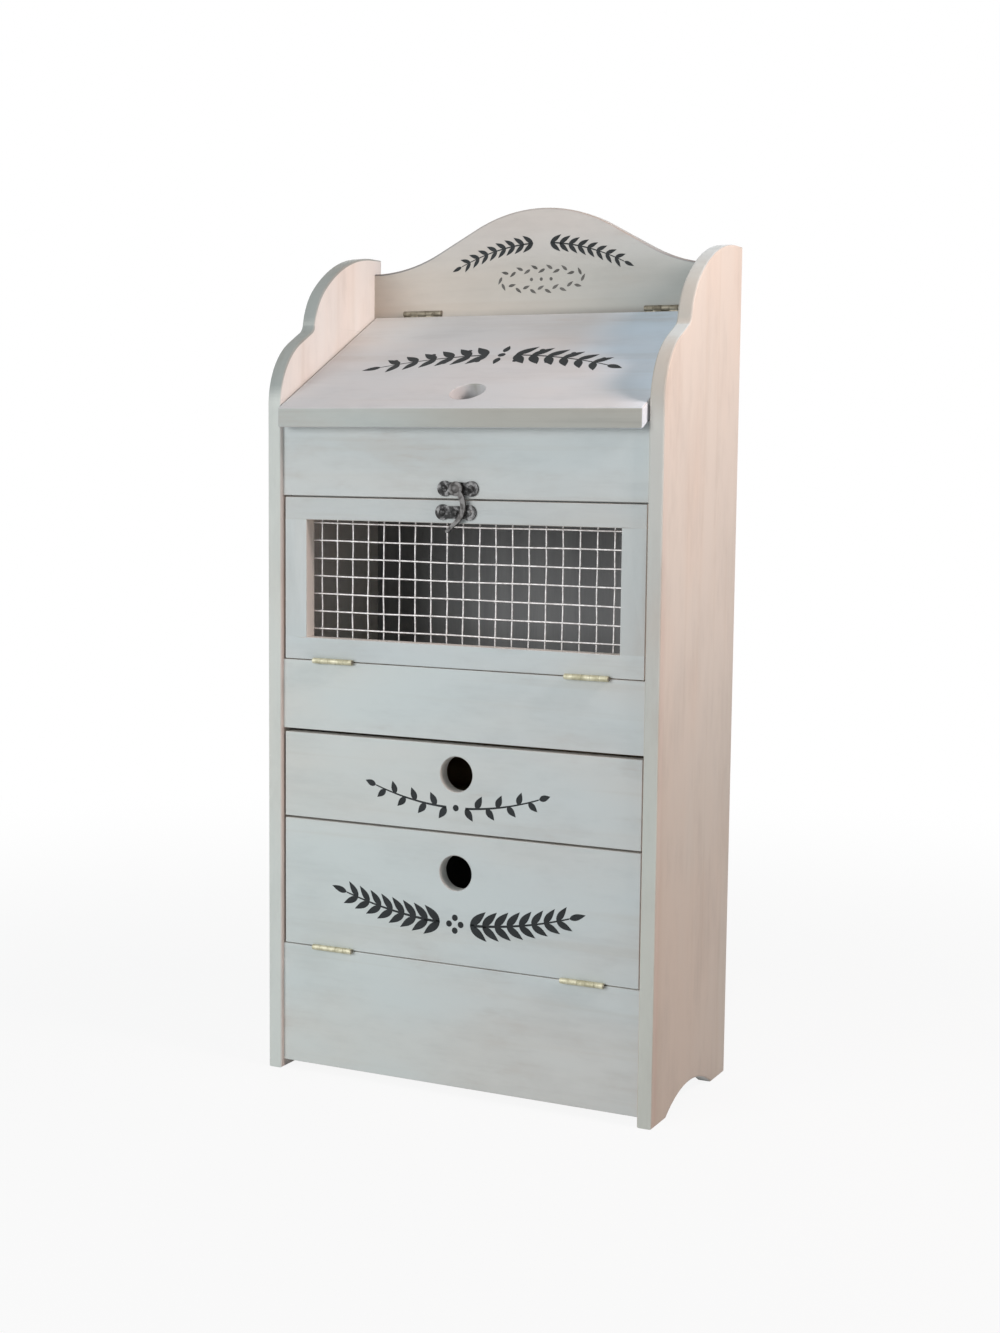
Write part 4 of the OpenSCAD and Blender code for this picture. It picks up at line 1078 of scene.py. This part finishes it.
# %% Leaves, berries and stems
LEAF_STEPS, BERRY_SIDES, STEM_STEPS = 9, 16, 24


def turned(points, place, degrees):
    """Points turned about the origin and moved to a place."""
    c, s = math.cos(math.radians(degrees)), math.sin(math.radians(degrees))
    return [(place[0] + c * x - s * y, place[1] + s * x + c * y) for x, y in points]


def leaf(place, degrees, length, width, fullest=0.4):
    """A pointed leaf that grows from a place, widest at a share of its length."""
    power = math.log(0.5) / math.log(fullest)
    shares = [k / LEAF_STEPS for k in range(1, LEAF_STEPS)]
    half = [(length * t, 0.5 * width * math.sin(math.pi * t ** power)) for t in shares]
    return turned([(0, 0), *half, (length, 0), *[(x, -y) for x, y in reversed(half)]], place, degrees)


def berry(place, radius):
    """A round dot."""
    return [(place[0] + radius * math.cos(a), place[1] + radius * math.sin(a))
            for a in (2 * math.pi * k / BERRY_SIDES for k in range(BERRY_SIDES))]


def ribbon(points, start_width, end_width):
    """A stem as a row of four-cornered strips along some points."""
    count = len(points) - 1
    sides = []
    for k, here in enumerate(points):
        before, after = points[max(0, k - 1)], points[min(count, k + 1)]
        heading = Vector((after[0] - before[0], after[1] - before[1])).normalized()
        half = 0.5 * (start_width + (end_width - start_width) * k / count)
        sides.append(((here[0] - heading.y * half, here[1] + heading.x * half),
                      (here[0] + heading.y * half, here[1] - heading.x * half)))
    return [[a, b, d, c] for (a, b), (c, d) in zip(sides, sides[1:])]


print("a leaf has", len(leaf((0, 0), 0, 10, 4)), "corners, a berry", len(berry((0, 0), 1)))

# %% [markdown]
# ## A garland
# A garland is two mirrored halves along a bow, with leaves that shrink toward the tips. Drawing it leaf
# by leaf would take a long list of points, and one rule with a few numbers gives them all: how the bow
# bends, where the leaves start and end, how far they stand apart and how far they lean out.

# %% A garland along a bow
def bowed(middle, rise, at):
    """A bow through a height at x = 0 that has gone up by rise at another x, in mm."""
    return lambda x: middle + rise * (x / at) ** 2


def garland(bow, first, last, step, leaf_size, spread, stem, pairs=True, berry_r=0.0, shrink=0.3):
    """Both halves of a garland along a bow, with leaves from first to last at every step."""
    count = int(round((last - first) / step))
    loops = []
    for side in (1, -1):
        reach = [side * (first + (last - first) * k / STEM_STEPS) for k in range(STEM_STEPS + 1)]
        loops += ribbon([(x, bow(x)) for x in reach], *stem)
        for k in range(count + 1):
            x = first + step * k
            size = 1 - shrink * k / count
            length, width = leaf_size[0] * size, leaf_size[1] * size
            slope = math.degrees(math.atan2(bow(side * (x + 1)) - bow(side * (x - 1)), side * 2))
            place = (side * x, bow(side * x))
            if k == count:
                loops.append(leaf(place, slope, length, width))
                continue
            turn_about = 1 if k % 2 else -1
            for hand in (1, -1) if pairs else (turn_about,):
                loops.append(leaf(place, slope + side * hand * spread, length, width))
            if berry_r:
                lean = math.radians(slope + side * turn_about * 0.5 * spread)
                away, between = 0.55 * length * turn_about, side * (x + 0.5 * step)
                loops.append(berry((between - 0.55 * side * away * math.sin(lean),
                                    bow(between) + away * abs(math.cos(lean))), berry_r * size))
    return loops


print("a bow of 10 mm at 50 mm:", [round(bowed(0, 10, 50)(x), 1) for x in (0, 25, 50)])

# %% [markdown]
# ## Ink
# Stencil ink is dull, nearly black and a little grey where the brush was dry. The loops become thin
# plates that start just inside the paint and end just above it. Where two shapes cross, equal heights
# would flicker, so each plate stands a hair higher than the one before.

# %% Ink, and a print on a board
INK_UP, INK_DOWN, INK_STEPS = 0.05 * MM, 0.10 * MM, 8
DRY_INK = (0.16, 0.17, 0.17)


def print_on(name, loops, origin, rise, out, body, colour):
    """Loops in mm, with x along the board and y up it, made into one thin piece of ink."""
    bm = bmesh.new()
    origin, rise, out = Vector(origin), Vector(rise), Vector(out)
    for number, loop in enumerate(loops):
        top_up = INK_UP * (1 + 0.1 * (number % INK_STEPS))
        flat = [origin + Vector((x * MM, 0, 0)) + rise * (y * MM) for x, y in loop]
        top = [bm.verts.new(p + out * top_up) for p in flat]
        low = [bm.verts.new(p - out * INK_DOWN) for p in flat]
        bm.faces.new(top)
        bm.faces.new(low[::-1])
        for k in range(len(flat)):
            m = (k + 1) % len(flat)
            bm.faces.new((top[k], low[k], low[m], top[m]))
    finished(name, bm, colour, body)
    print(name, "has", len(loops), "shapes")


def ink_print(name, deep, thin):
    """Stencil ink, a little grey where the brush was dry."""
    sheet = Sheet(name)
    dry = sheet.noise(900, 3, roughness=0.7).ease(0.60, 0.78)
    colour = sheet.mix(deep, thin, sheet.noise(60, 2).ease(0.3, 0.7))
    colour = sheet.mix(colour, DRY_INK, 0.4 * dry)
    return sheet.surfaced(Base_Color=colour, Roughness=0.6 + 0.2 * dry, Specular_IOR_Level=0.25)


ink = ink_print("charcoal_ink", (0.009, 0.012, 0.013), (0.018, 0.022, 0.024))
grey_ink = ink_print("grey_ink", (0.085, 0.083, 0.076), (0.15, 0.147, 0.137))
print("inks:", ink.name, grey_ink.name)

# %% [markdown]
# ## The garlands
# The lid's garland is the largest and bends downward at its ends, and the drawer's and the flap's bend
# upward. Each has leaves of its own length and lean, and two halves with a small figure of berries or
# leaves between them. Heights are in mm above the floor, or for the lid in mm up its slope.

# %% The lid's garland
front_y, lid_edge_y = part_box("drawer_front")[0].y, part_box("lid_board")[0].y
LID_RISE, LID_EDGE_Z = (0, math.cos(LID_SLOPE), math.sin(LID_SLOPE)), 0.485
lid_print = garland(bowed(86, -24, 100), first=11, last=89, step=13, leaf_size=(19, 7.6), spread=48,
                    stem=(1.8, 0.9), berry_r=2.1, shrink=0.25)
lid_print += [berry((0, 86), 2.9), leaf((0, 90.5), 90, 11, 5), leaf((0, 81.5), -90, 11, 5)]
print_on("lid_sprig", lid_print, (0, lid_edge_y, LID_EDGE_Z), LID_RISE, FACE_LID, "lid", ink)

# %% [markdown]
# ## The drawer and the flap
# The drawer's front is narrow, so its garland has single leaves that change sides, with berries between
# them. The flap's has pairs of long leaves packed close. Both prints ride on their own board, so they
# go along when it slides or swings.

# %% The drawer's and the flap's garlands
drawer_print = garland(bowed(207, 13, 69), first=7.5, last=64, step=8.1, leaf_size=(10.5, 5.2),
                       spread=58, stem=(1.6, 0.9), pairs=False, berry_r=1.6, shrink=0.15)
drawer_print += [berry((0, 207), 2.3)]
print_on("drawer_sprig", drawer_print, (0, front_y, 0), UP, FRONT, "drawer", ink)

flap_print = garland(bowed(124, 17, 98), first=12, last=88, step=9.5, leaf_size=(16.5, 5.8), spread=40,
                     stem=(2.0, 1.0), shrink=0.22)
flap_print += [berry((x, 124 + dy), 2.3) for x, dy in ((0, -4.6), (-4.6, 0), (4.6, 0), (0, 4.6))]
print_on("flap_sprig", flap_print, (0, front_y, 0), UP, FRONT, "lower_flap", ink)

# %% [markdown]
# ## The crest's garland and wreath
# The crest carries a small garland under its arch, and below that a lighter print with thin lines. The
# lighter one is drawn here as a flat oval wreath of loose leaves round three berries, in grey ink. Its
# leaves have to stand evenly, and equal steps of angle would crowd them at the oval's ends, so the oval
# is measured in short steps first and the leaves are set at equal lengths along it.

# %% The crest's garland and wreath
crest_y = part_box("crest_board")[0].y
crest_print = garland(bowed(609.5, -17.5, 70), first=7, last=66, step=7.4, leaf_size=(10.5, 3.4),
                      spread=36, stem=(1.2, 0.6), shrink=0.2)
print_on("crest_sprig", crest_print, (0, crest_y, 0), UP, FRONT, "cabinet", ink)

OVAL_X, OVAL_Z, OVAL_HEIGHT = 34, 7.5, 583
STEPS, WREATH_LEAVES, WREATH_LEAN = 720, 24, 28
rounds = [2 * math.pi * k / STEPS for k in range(STEPS + 1)]
oval = [(OVAL_X * math.cos(t), OVAL_Z * math.sin(t)) for t in rounds]
lengths = [0.0]
for a, b in zip(oval, oval[1:]):
    lengths.append(lengths[-1] + math.dist(a, b))
wreath_print = []
for k in range(WREATH_LEAVES):
    wanted = lengths[-1] * (k + 0.5) / WREATH_LEAVES
    nearest = min(range(STEPS + 1), key=lambda m: abs(lengths[m] - wanted))
    t, (x, z) = rounds[nearest], oval[nearest]
    heading = math.degrees(math.atan2(OVAL_Z * math.cos(t), -OVAL_X * math.sin(t)))
    lean = WREATH_LEAN if k % 2 else -WREATH_LEAN
    wreath_print.append(leaf((x, OVAL_HEIGHT + z), heading + lean, 6.2, 2.2))
wreath_print += [berry((x, OVAL_HEIGHT), 1.3) for x in (-8, 0, 8)]
print_on("crest_wreath", wreath_print, (0, crest_y, 0), UP, FRONT, "cabinet", grey_ink)

# Both boxes, in metres, are printed in mm.

# %% Print the two boxes and finish
sizes = {"cad": [list(corner) for corner in cad_box], "visual": [list(corner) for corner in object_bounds()]}
print({k: [[round(c / MM, 1) for c in corner] for corner in box] for k, box in sizes.items()})
